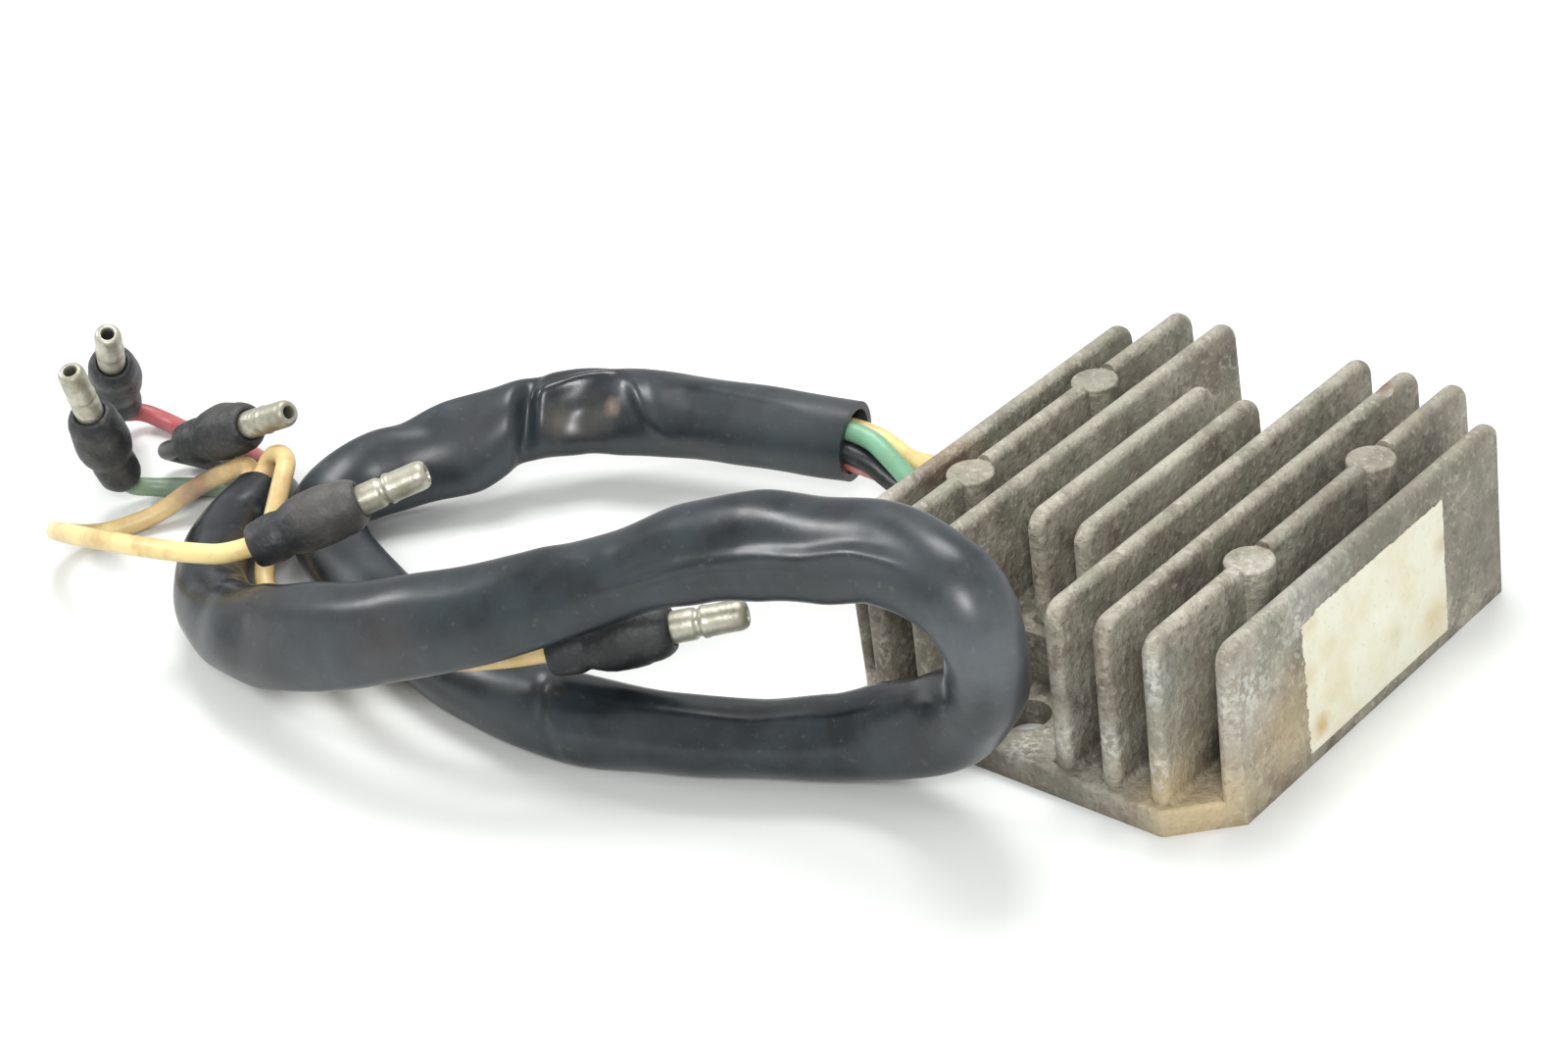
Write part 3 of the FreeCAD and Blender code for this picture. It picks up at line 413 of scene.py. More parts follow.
def label_paper():
    """Uncoated paper, cream with age, with brown damp stains."""
    material, tree, place = new_material("aged_uncoated_paper")
    base = coat(tree, chosen("paper"), "#c9be99", 0.6, cloud(tree, place, 7, 0.42, 0.66))
    base = lay_spots(tree, place, base, LABEL_STAINS)
    base = coat(tree, base, "#8f8468", 0.25, cloud(tree, place, 1.0, 0.6, 0.72))
    shade(tree, base, 0.75, cloud(tree, place, 0.6, 0.2, 0.8), 0.04)
    return material


def mottled(name, code, dirt, rough, size):
    """Moulded, dipped or laminated material with slight mottling of size millimetres."""
    material, tree, place = new_material(name)
    mottle = cloud(tree, place, size, 0.35, 0.68)
    shade(tree, coat(tree, colour(code), dirt, 0.4, mottle), rough, mottle, 0.06)
    return material


def need(node):
    """Lowest and highest corners of a solid, or an error if the frame lacks it."""
    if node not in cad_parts:
        raise RuntimeError("the frame has no solid named " + node)
    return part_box(node)


def dress(piece, material, slot, *nodes):
    """Gives a new piece its material, its body and the solids that it stands for. The slot is not used."""
    piece.data.materials.clear()
    piece.data.materials.append(material)
    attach(piece, BODY)
    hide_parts(*nodes)


def pick(piece):
    """Makes a piece the only chosen and the active one."""
    bpy.ops.object.select_all(action="DESELECT")
    bpy.context.view_layer.objects.active = piece
    piece.select_set(True)


def cord_line(name, points):
    """Smooth curve whose control points are a cord's route."""
    curve = bpy.data.curves.new(name, "CURVE")
    curve.dimensions = "3D"
    curve.resolution_u = CORD_STEPS
    spline = curve.splines.new("NURBS")
    spline.points.add(len(points) - 1)
    for point, place in zip(spline.points, points):
        point.co = (*place, 1.0)
    spline.order_u = 3
    spline.use_endpoint_u = True
    piece = bpy.data.objects.new(name, curve)
    bpy.context.scene.collection.objects.link(piece)
    return piece


def bundle_seat(mouth, inner, angle):
    """Two places on a lead's straight run: at the bottom of the sleeve's pocket and past its mouth."""
    sizes = bpy.context.scene.regulator_harness
    out = (mouth - inner).normalized()
    side = out.cross(Vector((0, 0, 1))).normalized()
    up = side.cross(out)
    turn = math.radians(angle)
    seat = side * (BUNDLE_RADIUS * math.cos(turn)) + up * (BUNDLE_RADIUS * math.sin(turn))
    return [mouth - out * sizes.pocket + seat, mouth + out * MOUTH_RUN + seat]


def unit_lead_points(name):
    """Route of a lead from the sleeve's pocket to its end inside the unit."""
    angle, free = UNIT_LEADS[name]
    slot = list(UNIT_LEADS).index(name)
    y = NOTCH_CENTRE + (slot - (len(UNIT_LEADS) - 1) / 2) * LEAD_PITCH
    start = bundle_seat(Vector(SLEEVE_ROUTE[0]), Vector(SLEEVE_ROUTE[1]), angle)
    ends = [Vector((RUN_OUTER_X, y, LEAD_HEIGHT)), Vector((LEAD_END_X, y, LEAD_HEIGHT))]
    return start + [Vector(point) for point in free] + ends


def plug_place(name):
    """Rear end and axis of a plug."""
    _, _, rear, tip, _ = PLUG_LEADS[name]
    return Vector(rear), (Vector(tip) - Vector(rear)).normalized()


def plug_lead_points(name):
    """Route of a lead from the sleeve's pocket into its boot."""
    angle, free, _, _, run = PLUG_LEADS[name]
    rear, axis = plug_place(name)
    start = bundle_seat(Vector(SLEEVE_ROUTE[-1]), Vector(SLEEVE_ROUTE[-2]), angle)
    return start + [Vector(point) for point in free] + [rear - axis * run, rear + axis * LEAD_SOCKET]


def make_lead(node, points, material):
    """One insulated lead as a round curve along its route."""
    piece = cord_line(node + "_skin", points)
    piece.data.bevel_depth = bpy.context.scene.regulator_harness.lead_radius
    piece.data.bevel_resolution = LEAD_ROUNDNESS
    piece.data.use_fill_caps = True
    dress(piece, material, "lead_" + node.split("_")[2], node)
    return piece


def smooth_step(share):
    """Share from 0 to 1 with a soft start and end."""
    return share * share * (3 - 2 * share)


def sleeve_form(distance):
    """Half width and shift of the sleeve at a distance along it, in millimetres."""
    for (near, near_width, near_shift), (far, far_width, far_shift) in zip(SLEEVE_FORM, SLEEVE_FORM[1:]):
        if distance <= far:
            share = smooth_step((distance - near) / (far - near))
            shift = near_shift + share * (far_shift - near_shift)
            return near_width + share * (far_width - near_width), shift
    return SLEEVE_FORM[-1][1:]


def wrapped(turn):
    """Angle in degrees from -180 to 180."""
    return (turn + 180) % 360 - 180


def fold_depth(distance, turn):
    """How far the folds press the skin in, in millimetres, at an angle round the sleeve in degrees."""
    depth = 0
    for middle, angle, spread, slant, deep, width in FOLDS:
        aside = wrapped(turn - angle)
        if abs(aside) < spread:
            fade = smooth_step(1 - abs(aside) / spread)
            away = (distance - middle - slant * aside / spread) / width
            rim = FOLD_RIM * math.exp(-away * away / FOLD_RIM_SPREAD)
            depth += deep * fade * (FOLD_PEAK * math.exp(-away * away) - rim)
    for first, last, first_angle, last_angle, width, height in RIDGES:
        share = (distance - first) / (last - first)
        if 0 < share < 1:
            aside = wrapped(turn - first_angle - share * (last_angle - first_angle)) / width
            fade = smooth_step(min(1, RIDGE_FADE * share, RIDGE_FADE * (1 - share)))
            dip = RIDGE_DIP * math.exp(-aside * aside / RIDGE_DIP_SPREAD)
            depth += height * fade * (dip - math.exp(-aside * aside * RIDGE_SHARPNESS))
    return depth


def sleeve_rings(middle):
    """Rings of the sleeve's skin and how far along it each is, both in metres."""
    sizes = bpy.context.scene.regulator_harness
    rings = []
    distances = []
    distance = 0.0
    for index, centre in enumerate(middle):
        before = middle[max(index - 1, 0)]
        after = middle[min(index + 1, len(middle) - 1)]
        if index:
            distance += (centre - before).length
        distances.append(distance)
        right = LINE_OF_SIGHT.cross(after - before).normalized()
        toward = right.cross(after - before).normalized()
        along = distance / MM
        half_width, shift = sleeve_form(along)
        half_depth = 2 * sizes.sleeve_radius / MM - half_width
        ring = []
        for step in range(SLEEVE_SEGMENTS):
            turn = 360 * step / SLEEVE_SEGMENTS
            angle = math.radians(turn)
            wave = noise.noise((math.cos(angle) * WAVE_ROUND, math.sin(angle) * WAVE_ROUND,
                                along / WAVE_LENGTH))
            pressed = sizes.fold_share * fold_depth(along, turn) + sizes.waviness / MM * wave
            place = centre + right * (((half_width - pressed) * math.sin(angle) - shift) * MM)
            place += toward * ((half_depth - pressed) * math.cos(angle) * MM)
            place.z = max(place.z, FLOOR_GAP)
            ring.append(place)
        rings.append(ring)
    return rings, distances


def joined_rings(rings):
    """Faces of a skin through rings that are listed one after another."""
    count = len(rings[0])
    faces = []
    for low in range(0, (len(rings) - 1) * count, count):
        for step in range(count):
            after = (step + 1) % count
            faces.append((low + step, low + after, low + count + after, low + count + step))
    return faces


def make_sleeve(material):
    """Sleeve as a mesh tube along its curve: flattened and folded, open for a pocket at each end."""
    sizes = bpy.context.scene.regulator_harness
    line = cord_line("sleeve_line", SLEEVE_ROUTE)
    bare = bpy.data.meshes.new_from_object(line)
    middle = [vertex.co.copy() for vertex in bare.vertices]
    bpy.data.objects.remove(line)
    rings, distances = sleeve_rings(middle)
    depth = sizes.pocket + POCKET_MARGIN
    near_count = sum(1 for distance in distances if distance < depth)
    far_count = sum(1 for distance in distances if distances[-1] - distance < depth)

    def lining(ring):
        centre = sum(ring, Vector()) / len(ring)
        return [place + (centre - place).normalized() * sizes.sleeve_wall for place in ring]

    near = [lining(ring) for ring in rings[:near_count]][::-1]
    far = [lining(ring) for ring in rings[-far_count:]][::-1]
    skin = near + rings + far
    vertices = [place for ring in skin for place in ring]
    mesh = bpy.data.meshes.new("harness_sleeve_skin")
    mesh.from_pydata(vertices, [], joined_rings(skin))
    piece = bpy.data.objects.new("harness_sleeve_skin", mesh)
    bpy.context.scene.collection.objects.link(piece)
    pick(piece)
    bpy.ops.object.mode_set(mode="EDIT")
    bpy.ops.mesh.select_all(action="SELECT")
    bpy.ops.mesh.fill_holes(sides=0)
    bpy.ops.mesh.select_all(action="SELECT")
    bpy.ops.mesh.normals_make_consistent(inside=False)
    bpy.ops.object.mode_set(mode="OBJECT")
    bpy.ops.object.shade_smooth_by_angle(angle=SLEEVE_CREASE)
    dress(piece, material, "sleeve_vinyl", "harness_sleeve")


def lathed(name, outline, segments, ring):
    """Form turned round the z axis: a circle extruded through (radius, height) steps in millimetres.
    A ring has its last loop joined to its first, and anything else has its ends closed."""
    bpy.ops.object.select_all(action="DESELECT")
    radius, height = outline[0]
    bpy.ops.mesh.primitive_circle_add(vertices=segments, radius=radius * MM, location=(0, 0, height * MM))
    piece = bpy.context.object
    piece.name = name
    bpy.ops.object.mode_set(mode="EDIT")
    for next_radius, next_height in outline[1:]:
        rise = (next_height - height) * MM
        share = next_radius / radius
        bpy.ops.mesh.extrude_region_move(TRANSFORM_OT_translate={"value": (0, 0, rise)})
        bpy.ops.transform.resize(value=(share, share, 1))
        radius, height = next_radius, next_height
    bpy.ops.mesh.select_all(action="DESELECT")
    bpy.ops.mesh.select_non_manifold()
    if ring:
        bpy.ops.mesh.bridge_edge_loops()
    else:
        bpy.ops.mesh.fill_holes(sides=0)
    bpy.ops.mesh.select_all(action="SELECT")
    bpy.ops.mesh.normals_make_consistent(inside=False)
    bpy.ops.object.mode_set(mode="OBJECT")
    bpy.ops.object.transform_apply(location=True, rotation=True, scale=True)
    return piece


def placed_copy(form, name, rear, axis):
    """Copy with a mesh of its own, turned and moved from the z axis to a plug's axis."""
    turn = Vector((0, 0, 1)).rotation_difference(axis).to_matrix().to_4x4()
    mesh = form.data.copy()
    mesh.transform(Matrix.Translation(rear) @ turn)
    piece = bpy.data.objects.new(name, mesh)
    bpy.context.scene.collection.objects.link(piece)
    return piece


# Radius and distance from the rear end, in millimetres, of a boot from its bore outwards and back
BOOT_OUTLINE = [
    (1.52, 0.2), (2.3, 0), (2.9, 0.1), (3.2, 0.4), (3.4, 1.2), (3.5, 2.4), (3.52, 3.4), (3.45, 4.2),
    (3.3, 4.7), (3.2, 5.1), (3.28, 5.5), (3.55, 6.1), (3.85, 7.1), (4.08, 8.4), (4.15, 9.8), (4.1, 11.2),
    (3.95, 12.6), (3.8, 13.2), (3.78, 13.6), (3.75, 14.4), (3.5, 15.4), (3.15, 16.1), (2.8, 16.5),
    (2.45, 16.5), (2.2, 16.2), (2.16, 15.2), (1.98, 14.9), (1.97, 2.7), (1.52, 2.4)]
# The same of a bullet, from its crimp forwards and into its hole
BULLET_OUTLINE = [
    (1.2, 2.6), (1.9, 2.7), (1.9, 14.7), (2.08, 14.9), (2.12, 15.2), (2.13, 19.2), (2.04, 19.55),
    (1.83, 19.75), (1.8, 20.0), (1.83, 20.2), (2.02, 20.35), (2.16, 20.5), (2.2, 20.8), (2.12, 21.1),
    (2.05, 21.5), (2.06, 24.9), (2.03, 25.4), (1.88, 25.9), (1.62, 26.25), (1.3, 26.4), (1.05, 26.35),
    (0.94, 26.1), (0.9, 25.6), (0.88, 21.5)]
BOOT_LENGTH = 16.5 * MM
BOOT_INNER_LIMIT = 2.3 * MM     # nothing nearer the axis is pressed out of round
BOOT_SIDES = 56
BULLET_SIDES = 48
BULLET_CREASE = math.radians(40)
LUMP_STEP = 7.0                 # from one boot's lumps to the next one's, in the noise
FINE_LUMP_SHARE = 0.4
FINE_LUMP_SCALE = 2.3
MOUTH_FADE = 3 * MM             # the lumps grow flatter over this length before the boot's mouth
MOUTH_LEAST = 0.2               # share of the lumps' height that stays there


def make_boots(material):
    """Soft boots, each pressed out of round in its own way."""
    look = bpy.context.scene.regulator_plugs
    form = lathed("boot_form", BOOT_OUTLINE, BOOT_SIDES, True)
    for number, name in enumerate(PLUG_LEADS):
        need("boot_" + name)
        rear, axis = plug_place(name)
        piece = placed_copy(form, "boot_%s_skin" % name, rear, axis)
        for vertex in piece.data.vertices:
            along = (vertex.co - rear).dot(axis)
            aside = vertex.co - rear - axis * along
            if aside.length > BOOT_INNER_LIMIT:
                place = vertex.co / look.lump_size + Vector((LUMP_STEP * number, 0, 0))
                lump = noise.noise(place) + FINE_LUMP_SHARE * noise.noise(place * FINE_LUMP_SCALE)
                ends = min(1.0, (BOOT_LENGTH - along) / MOUTH_FADE)
                vertex.co += aside.normalized() * (look.lump_height * lump * max(MOUTH_LEAST, ends))
        piece.data.shade_smooth()
        dress(piece, material, "boot_vinyl", "boot_" + name)
    bpy.data.objects.remove(form)


def make_bullets(material):
    """Bullet terminals, turned from one outline."""
    form = lathed("bullet_form", BULLET_OUTLINE, BULLET_SIDES, False)
    for name in PLUG_LEADS:
        need("bullet_" + name)
        piece = placed_copy(form, "bullet_%s_skin" % name, *plug_place(name))
        pick(piece)
        bpy.ops.object.shade_smooth_by_angle(angle=BULLET_CREASE)
        dress(piece, material, "bullet_tinned_brass", "bullet_" + name)
    bpy.data.objects.remove(form)


LABEL_THICKNESS = 0.15 * MM
LABEL_EDGE_CELLS = 26           # the edges are ragged over one part in so many of the sheet
LABEL_TORN_LENGTH = 3.8 * MM
LABEL_TORN_HEIGHT = 1.6 * MM
LABEL_COLUMNS = 128
LABEL_ROWS = 80
LABEL_CREASE = math.radians(50)
FINE_RAG_SHARE = 0.5
FINE_RAG_SCALE = 3
NEAR_EDGE_WEAR = 0.3            # how far back the near edge is worn all along, in rag depths
STRAIGHTER_SHARE = 0.3          # share of the rag's depth on the far and top edges
COCKLE_LIFT = 0.5               # added to the noise, so that most of the paper swells a little
COCKLE_REACH = 1 + COCKLE_LIFT  # highest swelling, in cockle heights


def make_label(material):
    """Paper label on the outer face of the last fin: worn ragged, torn at one corner, slightly cockled."""
    look = bpy.context.scene.regulator_label
    low, high = need("label")
    slope = (high.x - low.x - LABEL_THICKNESS) / (high.z - low.z)
    bpy.ops.object.select_all(action="DESELECT")
    bpy.ops.mesh.primitive_grid_add(x_subdivisions=LABEL_COLUMNS, y_subdivisions=LABEL_ROWS, size=1)
    piece = bpy.context.object
    piece.name = "label_sheet"
    for vertex in piece.data.vertices:
        across = vertex.co.x + 0.5
        up = vertex.co.y + 0.5
        y = low.y + across * (high.y - low.y)
        z = low.z + up * (high.z - low.z)
        ragged = noise.noise((y / look.rag_size, z / look.rag_size, 0))
        ragged += FINE_RAG_SHARE * noise.noise((y / look.rag_size * FINE_RAG_SCALE,
                                                z / look.rag_size * FINE_RAG_SCALE, 4))
        near_edge = max(0.0, 1 - across * LABEL_EDGE_CELLS)
        far_edge = max(0.0, 1 - (1 - across) * LABEL_EDGE_CELLS)
        top_edge = max(0.0, 1 - (1 - up) * LABEL_EDGE_CELLS)
        tear = max(0.0, 1 - across * (high.y - low.y) / LABEL_TORN_LENGTH)
        y += look.rag_depth * (near_edge * (NEAR_EDGE_WEAR + abs(ragged))
                               - far_edge * STRAIGHTER_SHARE * abs(ragged))
        z -= top_edge * (tear * LABEL_TORN_HEIGHT + STRAIGHTER_SHARE * look.rag_depth * abs(ragged))
        cockle = noise.noise((y / look.cockle_size, z / look.cockle_size, 9)) + COCKLE_LIFT
        x = high.x - LABEL_THICKNESS - slope * (z - low.z) + look.cockle_height * max(0.0, cockle)
        vertex.co = (x, y, z)
    pick(piece)
    thickness = piece.modifiers.new("thickness", "SOLIDIFY")
    thickness.thickness = LABEL_THICKNESS - look.cockle_height * COCKLE_REACH
    thickness.offset = 1
    bpy.ops.object.modifier_apply(modifier="thickness")
    bpy.ops.object.mode_set(mode="EDIT")
    bpy.ops.mesh.select_all(action="SELECT")
    bpy.ops.mesh.normals_make_consistent(inside=False)
    bpy.ops.object.mode_set(mode="OBJECT")
    bpy.ops.object.shade_smooth_by_angle(angle=LABEL_CREASE)
    dress(piece, material, "label_paper", "label")


def finish_solids(finishes):
    """Gives the solids that stay their finishes by material slot."""
    missing = set(finishes)
    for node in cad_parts.values():
        for slot in node.material_slots:
            if slot.material and slot.material.name in finishes:
                missing.discard(slot.material.name)
                slot.material = finishes[slot.material.name]
    if missing:
        raise RuntimeError("no solid has the slots " + ", ".join(sorted(missing)))


def make_camera():
    """Camera at the photograph's place, turned by its yaw, pitch and roll."""
    look = bpy.context.scene.regulator_stage
    yaw = math.radians(CAMERA_YAW)
    pitch = math.radians(CAMERA_PITCH)
    roll = math.radians(CAMERA_ROLL)
    ahead = Vector((-math.sin(yaw) * math.cos(pitch), math.cos(yaw) * math.cos(pitch), -math.sin(pitch)))
    right = ahead.cross(Vector((0, 0, 1))).normalized()
    down = ahead.cross(right)
    image_right = right * math.cos(roll) + down * math.sin(roll)
    image_down = down * math.cos(roll) - right * math.sin(roll)
    turn = Matrix((image_right, -image_down, -ahead)).transposed().to_4x4()
    bpy.ops.object.camera_add()
    camera = bpy.context.object
    camera.matrix_world = Matrix.Translation(CAMERA_PLACE) @ turn
    camera.data.sensor_width = SENSOR_WIDTH
    camera.data.lens = look.lens
    camera.data.clip_start = CLIP_START
    bpy.context.scene.camera = camera


def make_stage():
    """White board floor, plain world light, a soft window behind and above, and two smaller lights."""
    look = bpy.context.scene.regulator_stage
    bpy.ops.object.select_all(action="DESELECT")
    bpy.ops.mesh.primitive_plane_add(size=FLOOR_SIZE)
    floor = bpy.context.object
    floor.name = "floor"
    material, tree, _ = new_material("matt_white_board")
    board = add_node(tree, "ShaderNodeBsdfDiffuse", {"Color": chosen("floor")})
    add_node(tree, "ShaderNodeOutputMaterial", {"Surface": board.outputs[0]})
    floor.data.materials.append(material)
    world = bpy.data.worlds.new("studio")
    world.use_nodes = True
    world.node_tree.nodes["Background"].inputs["Strength"].default_value = look.world_strength
    world.node_tree.nodes["Background"].inputs["Color"].default_value = (1, 1, 1, 1)
    bpy.context.scene.world = world
    lamps = ((look.window_place, look.window_size, look.window_energy),
             (look.front_place, look.front_size, look.front_energy),
             (look.side_place, look.side_size, look.side_energy))
    for place, size, energy in lamps:
        bpy.ops.object.light_add(type="AREA", location=place)
        lamp = bpy.context.object
        lamp.data.size = size
        lamp.data.energy = energy
        lamp.rotation_euler = (-Vector(place)).to_track_quat("-Z", "Y").to_euler()
    bpy.context.scene.view_settings.view_transform = "Standard"


class HarnessSizes(bpy.types.PropertyGroup):
    """Sizes of the sleeve and its leads"""
    sleeve_radius: bpy.props.FloatProperty(
        name="Sleeve radius", description="Outer radius of the sleeve where it is round",
        default=0.0054, unit="LENGTH")
    sleeve_wall: bpy.props.FloatProperty(
        name="Sleeve wall", description="Thickness of the vinyl", default=0.0011, unit="LENGTH")
    pocket: bpy.props.FloatProperty(
        name="Pocket", description="Open depth at each mouth", default=0.007, unit="LENGTH")
    fold_share: bpy.props.FloatProperty(
        name="Folds", description="Depth of the folds, 1 as photographed", default=1.0)
    waviness: bpy.props.FloatProperty(
        name="Waviness", description="Height of the soft waves in the skin", default=0.0002, unit="LENGTH")
    lead_radius: bpy.props.FloatProperty(
        name="Lead radius", description="Outer radius of each lead", default=0.00145, unit="LENGTH")


class PlugLook(bpy.types.PropertyGroup):
    """Unevenness of the boots"""
    lump_size: bpy.props.FloatProperty(
        name="Lump size", description="Distance between lumps", default=0.0065, unit="LENGTH")
    lump_height: bpy.props.FloatProperty(
        name="Lump height", description="How far the lumps stand out", default=0.0004, unit="LENGTH")


class LabelLook(bpy.types.PropertyGroup):
    """Wear of the paper label"""
    rag_size: bpy.props.FloatProperty(
        name="Rag size", description="Distance between the bays of the edge", default=0.0014, unit="LENGTH")
    rag_depth: bpy.props.FloatProperty(
        name="Rag depth", description="Depth of the bays", default=0.0011, unit="LENGTH")
    cockle_size: bpy.props.FloatProperty(
        name="Cockle size", description="Distance between the paper's swellings", default=0.004,
        unit="LENGTH")
    cockle_height: bpy.props.FloatProperty(
        name="Cockle height", description="Height of the swellings", default=0.00004, unit="LENGTH")


class FinishColours(bpy.types.PropertyGroup):
    """Clean colours that each finish starts from"""
    casting: bpy.props.FloatVectorProperty(
        name="Casting", description="Oxidised aluminium of the heat sink", default=colour("#8a8475"), size=4,
        min=0, max=1, subtype="COLOR")
    sleeve: bpy.props.FloatVectorProperty(
        name="Sleeve", description="Clean vinyl of the sleeve", default=colour("#10161a"), size=4,
        min=0, max=1, subtype="COLOR")
    boot: bpy.props.FloatVectorProperty(
        name="Boots", description="Clean vinyl of the boots", default=colour("#1b1f22"), size=4,
        min=0, max=1, subtype="COLOR")
    tin: bpy.props.FloatVectorProperty(
        name="Terminals", description="Tin plating of the bullets", default=colour("#bcbaab"), size=4,
        min=0, max=1, subtype="COLOR")
    paper: bpy.props.FloatVectorProperty(
        name="Label", description="Aged paper of the label", default=colour("#d9d7c5"), size=4,
        min=0, max=1, subtype="COLOR")
    red: bpy.props.FloatVectorProperty(
        name="Red lead", description="Red lead at the unit", default=colour("#c98486"), size=4,
        min=0, max=1, subtype="COLOR")
    green: bpy.props.FloatVectorProperty(
        name="Green lead", description="Green lead at the unit", default=colour("#75a888"), size=4,
        min=0, max=1, subtype="COLOR")
    black: bpy.props.FloatVectorProperty(
        name="Black lead", description="Black lead at the unit", default=colour("#202224"), size=4,
        min=0, max=1, subtype="COLOR")
    yellow: bpy.props.FloatVectorProperty(
        name="Yellow leads", description="Yellow leads at the unit", default=colour("#dbc986"), size=4,
        min=0, max=1, subtype="COLOR")
    worn_red: bpy.props.FloatVectorProperty(
        name="Worn red lead", description="Red lead at the plugs", default=colour("#b0575b"), size=4,
        min=0, max=1, subtype="COLOR")
    worn_green: bpy.props.FloatVectorProperty(
        name="Worn green lead", description="Green lead at the plugs", default=colour("#7d9479"), size=4,
        min=0, max=1, subtype="COLOR")
    worn_black: bpy.props.FloatVectorProperty(
        name="Worn black lead", description="Black lead at the plugs", default=colour("#26282a"), size=4,
        min=0, max=1, subtype="COLOR")
    worn_yellow: bpy.props.FloatVectorProperty(
        name="Worn yellow lead", description="First yellow lead at the plugs", default=colour("#dfca8c"),
        size=4, min=0, max=1, subtype="COLOR")
    worn_ochre: bpy.props.FloatVectorProperty(
        name="Worn ochre lead", description="Second yellow lead at the plugs", default=colour("#d8bf86"),
        size=4, min=0, max=1, subtype="COLOR")
    floor: bpy.props.FloatVectorProperty(
        name="Floor", description="White board under the object", default=colour("#dadcda"), size=4,
        min=0, max=1, subtype="COLOR")


class StageLook(bpy.types.PropertyGroup):
    """Camera lens and studio light"""
    lens: bpy.props.FloatProperty(
        name="Lens", description="Focal length on a 36 mm sensor", default=73.53, unit="CAMERA")
    world_strength: bpy.props.FloatProperty(
        name="World", description="Strength of the even light from all round", default=0.72)
    window_place: bpy.props.FloatVectorProperty(
        name="Window place", description="Large soft light behind and above", default=(-0.2, 0.22, 0.85),
        subtype="XYZ")
    window_size: bpy.props.FloatProperty(
        name="Window size", description="Side of the large light", default=0.4, unit="LENGTH")
    window_energy: bpy.props.FloatProperty(
        name="Window energy", description="Power of the large light", default=5.8, unit="POWER")
    front_place: bpy.props.FloatVectorProperty(
        name="Front place", description="Soft light in front on the right", default=(0.42, -0.5, 0.52),
        subtype="XYZ")
    front_size: bpy.props.FloatProperty(
        name="Front size", description="Side of the front light", default=0.16, unit="LENGTH")
    front_energy: bpy.props.FloatProperty(
        name="Front energy", description="Power of the front light", default=4.0, unit="POWER")
    side_place: bpy.props.FloatVectorProperty(
        name="Side place", description="Small soft light at the left", default=(-0.8, -0.38, 0.57),
        subtype="XYZ")
    side_size: bpy.props.FloatProperty(
        name="Side size", description="Side of the small light", default=0.16, unit="LENGTH")
    side_energy: bpy.props.FloatProperty(
        name="Side energy", description="Power of the small light", default=3.0, unit="POWER")


class REGULATOR_OT_stage(bpy.types.Operator):
    """Set up the camera, the floor and the studio light"""
    bl_idname = "regulator.stage"
    bl_label = "Camera and Stage"

    def execute(self, context):
        make_camera()
        make_stage()
        return {"FINISHED"}


class REGULATOR_OT_sleeve(bpy.types.Operator):
    """Lay the folded vinyl sleeve along its route"""
    bl_idname = "regulator.sleeve"
    bl_label = "Sleeve"

    def execute(self, context):
        need("harness_sleeve")
        make_sleeve(sleeve_vinyl())
        return {"FINISHED"}


class REGULATOR_OT_plugs(bpy.types.Operator):
    """Put a soft boot and a bullet terminal on each plug's axis"""
    bl_idname = "regulator.plugs"
    bl_label = "Boots and Bullets"

    def execute(self, context):
        make_boots(boot_vinyl())
        make_bullets(tinned_brass())
        return {"FINISHED"}


class REGULATOR_OT_unit_leads(bpy.types.Operator):
    """Lay the leads between the unit and the sleeve"""
    bl_idname = "regulator.unit_leads"
    bl_label = "Unit Leads"

    def execute(self, context):
        finishes = {"red": lead_vinyl("red_insulation", chosen("red"), "#8f5048", 0.6),
                    "green": lead_vinyl("green_insulation", chosen("green"), "#76997a", 0.6),
                    "black": lead_vinyl("black_insulation", chosen("black"), "#4b4b48", 0.5),
                    "yellow": lead_vinyl("yellow_insulation", chosen("yellow"), "#a98f60", 0.6)}
        for name in UNIT_LEADS:
            need("unit_lead_" + name)
            points = unit_lead_points(name)
            piece = make_lead("unit_lead_" + name, points, finishes[name.split("_")[0]])
        return {"FINISHED"}


class REGULATOR_OT_plug_leads(bpy.types.Operator):
    """Lay the leads between the sleeve and the plugs"""
    bl_idname = "regulator.plug_leads"
    bl_label = "Plug Leads"

    def execute(self, context):
        finishes = {"red": lead_vinyl("red_worn_insulation", chosen("worn_red"), "#7a403b", 0.6),
                    "green": lead_vinyl("green_worn_insulation", chosen("worn_green"), "#59675a", 0.7),
                    "black": lead_vinyl("black_worn_insulation", chosen("worn_black"), "#524f4b", 0.5),
                    "yellow_1": lead_vinyl("yellow_worn_insulation", chosen("worn_yellow"), "#b5935f",
                                           0.7, YELLOW_SOIL),
                    "yellow_2": lead_vinyl("ochre_worn_insulation", chosen("worn_ochre"), "#b3915f",
                                           0.6)}
        for name in PLUG_LEADS:
            need("plug_lead_" + name)
            points = plug_lead_points(name)
            piece = make_lead("plug_lead_" + name, points, finishes[name])
        return {"FINISHED"}


class REGULATOR_OT_label(bpy.types.Operator):
    """Stick the bare paper label on the outer face of the last fin"""
    bl_idname = "regulator.label"
    bl_label = "Label"

    def execute(self, context):
        make_label(label_paper())
        return {"FINISHED"}


class REGULATOR_OT_casting(bpy.types.Operator):
    """Give the heat sink its weathered skin"""
    bl_idname = "regulator.casting"
    bl_label = "Heat Sink Skin"

    def execute(self, context):
        finish_solids({"cast_aluminium": weathered_casting()})
        return {"FINISHED"}


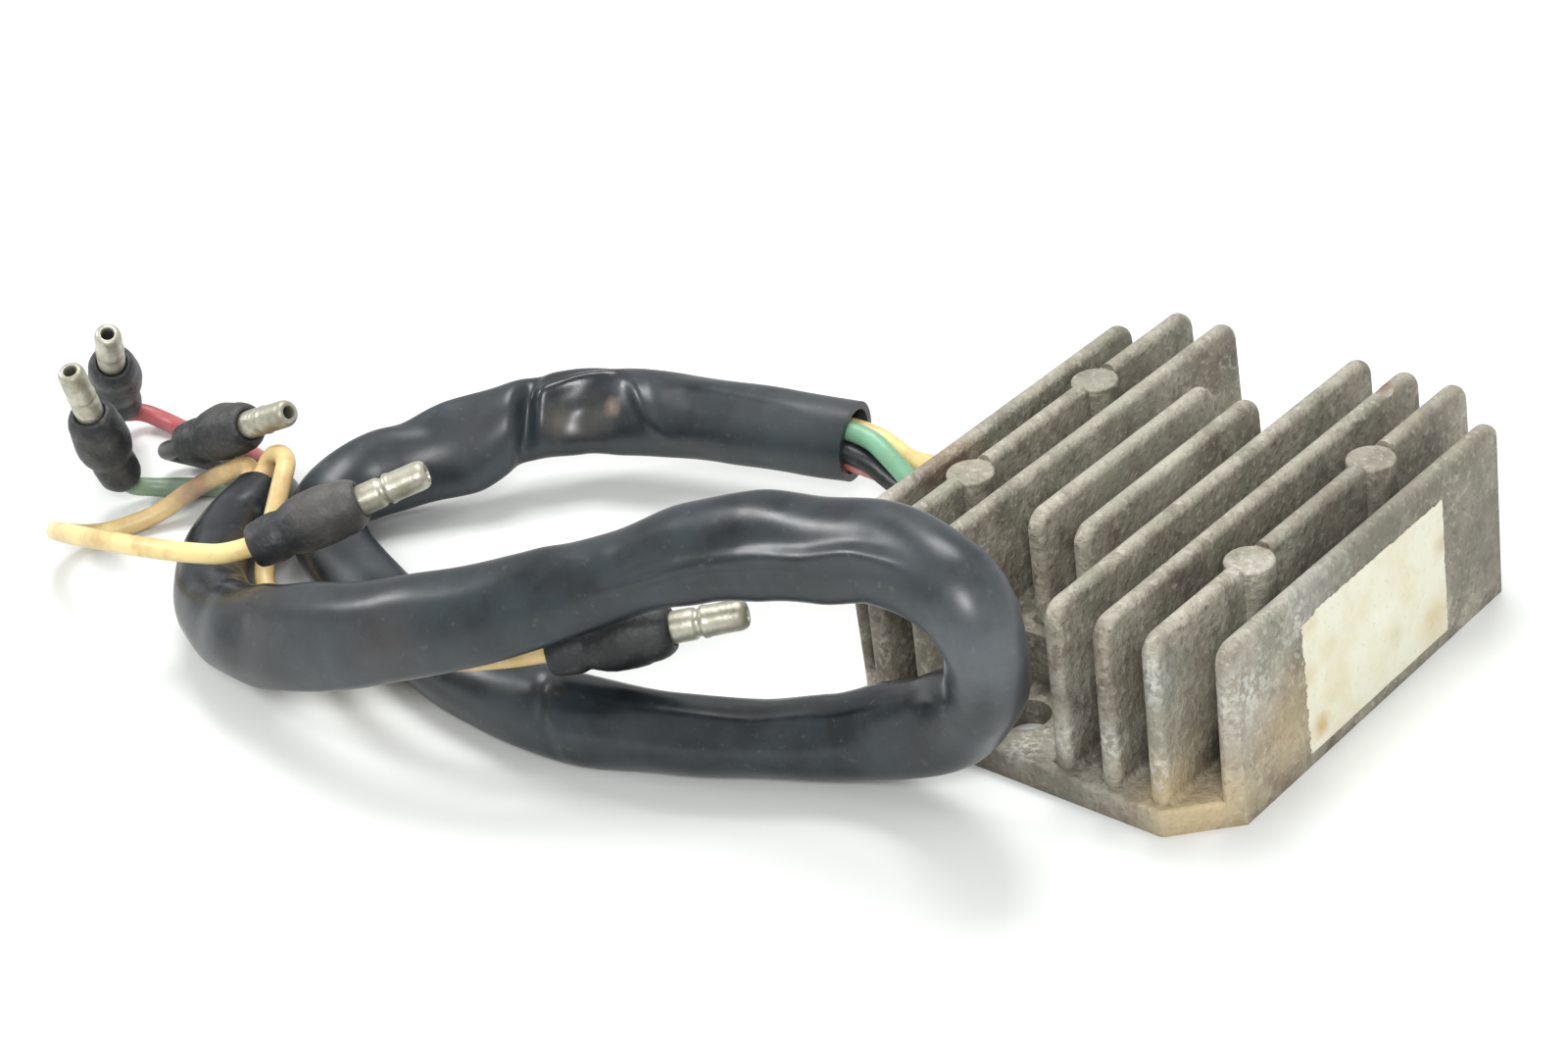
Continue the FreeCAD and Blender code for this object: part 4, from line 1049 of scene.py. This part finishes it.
class REGULATOR_OT_sealed_parts(bpy.types.Operator):
    """Give the potting and the parts sealed in it their finishes"""
    bl_idname = "regulator.sealed_parts"
    bl_label = "Sealed Parts"

    def execute(self, context):
        finish_solids({"potting_resin": mottled("poured_black_epoxy", "#24211e", "#4a463f", 0.35, 4),
                       "board_laminate": mottled("green_glass_epoxy", "#3d6a44", "#2f4f35", 0.4, 2),
                       "package_epoxy": mottled("moulded_black_epoxy", "#212121", "#3a3a39", 0.5, 1.5),
                       "component_lacquer": mottled("dipped_lacquer", "#b09460", "#7d6a47", 0.4, 1.5)})
        return {"FINISHED"}


OPERATORS = (REGULATOR_OT_stage, REGULATOR_OT_sleeve, REGULATOR_OT_plugs, REGULATOR_OT_unit_leads,
             REGULATOR_OT_plug_leads, REGULATOR_OT_label, REGULATOR_OT_casting, REGULATOR_OT_sealed_parts)


class REGULATOR_PT_panel(bpy.types.Panel):
    """Buttons for each group of pieces"""
    bl_label = "Regulator"
    bl_idname = "REGULATOR_PT_panel"
    bl_space_type = "VIEW_3D"
    bl_region_type = "UI"
    bl_category = "Regulator"

    def draw(self, context):
        for operator in OPERATORS:
            self.layout.operator(operator.bl_idname)
        for group in GROUPS:
            settings = getattr(context.scene, group)
            for name in settings.__annotations__:
                self.layout.prop(settings, name)


GROUPS = {"regulator_harness": HarnessSizes, "regulator_plugs": PlugLook, "regulator_label": LabelLook,
          "regulator_colours": FinishColours, "regulator_stage": StageLook}
CLASSES = (*GROUPS.values(), *OPERATORS, REGULATOR_PT_panel)


def register():
    for kind in CLASSES:
        bpy.utils.register_class(kind)
    for name, kind in GROUPS.items():
        setattr(bpy.types.Scene, name, bpy.props.PointerProperty(type=kind))


def unregister():
    for name in GROUPS:
        delattr(bpy.types.Scene, name)
    for kind in reversed(CLASSES):
        bpy.utils.unregister_class(kind)


def main():
    register()
    bpy.ops.regulator.stage()
    bpy.ops.regulator.sleeve()
    bpy.ops.regulator.plugs()
    bpy.ops.regulator.unit_leads()
    bpy.ops.regulator.plug_leads()
    bpy.ops.regulator.label()
    bpy.ops.regulator.casting()
    bpy.ops.regulator.sealed_parts()
    bpy.context.view_layer.update()


if __name__ == "__main__":
    main()
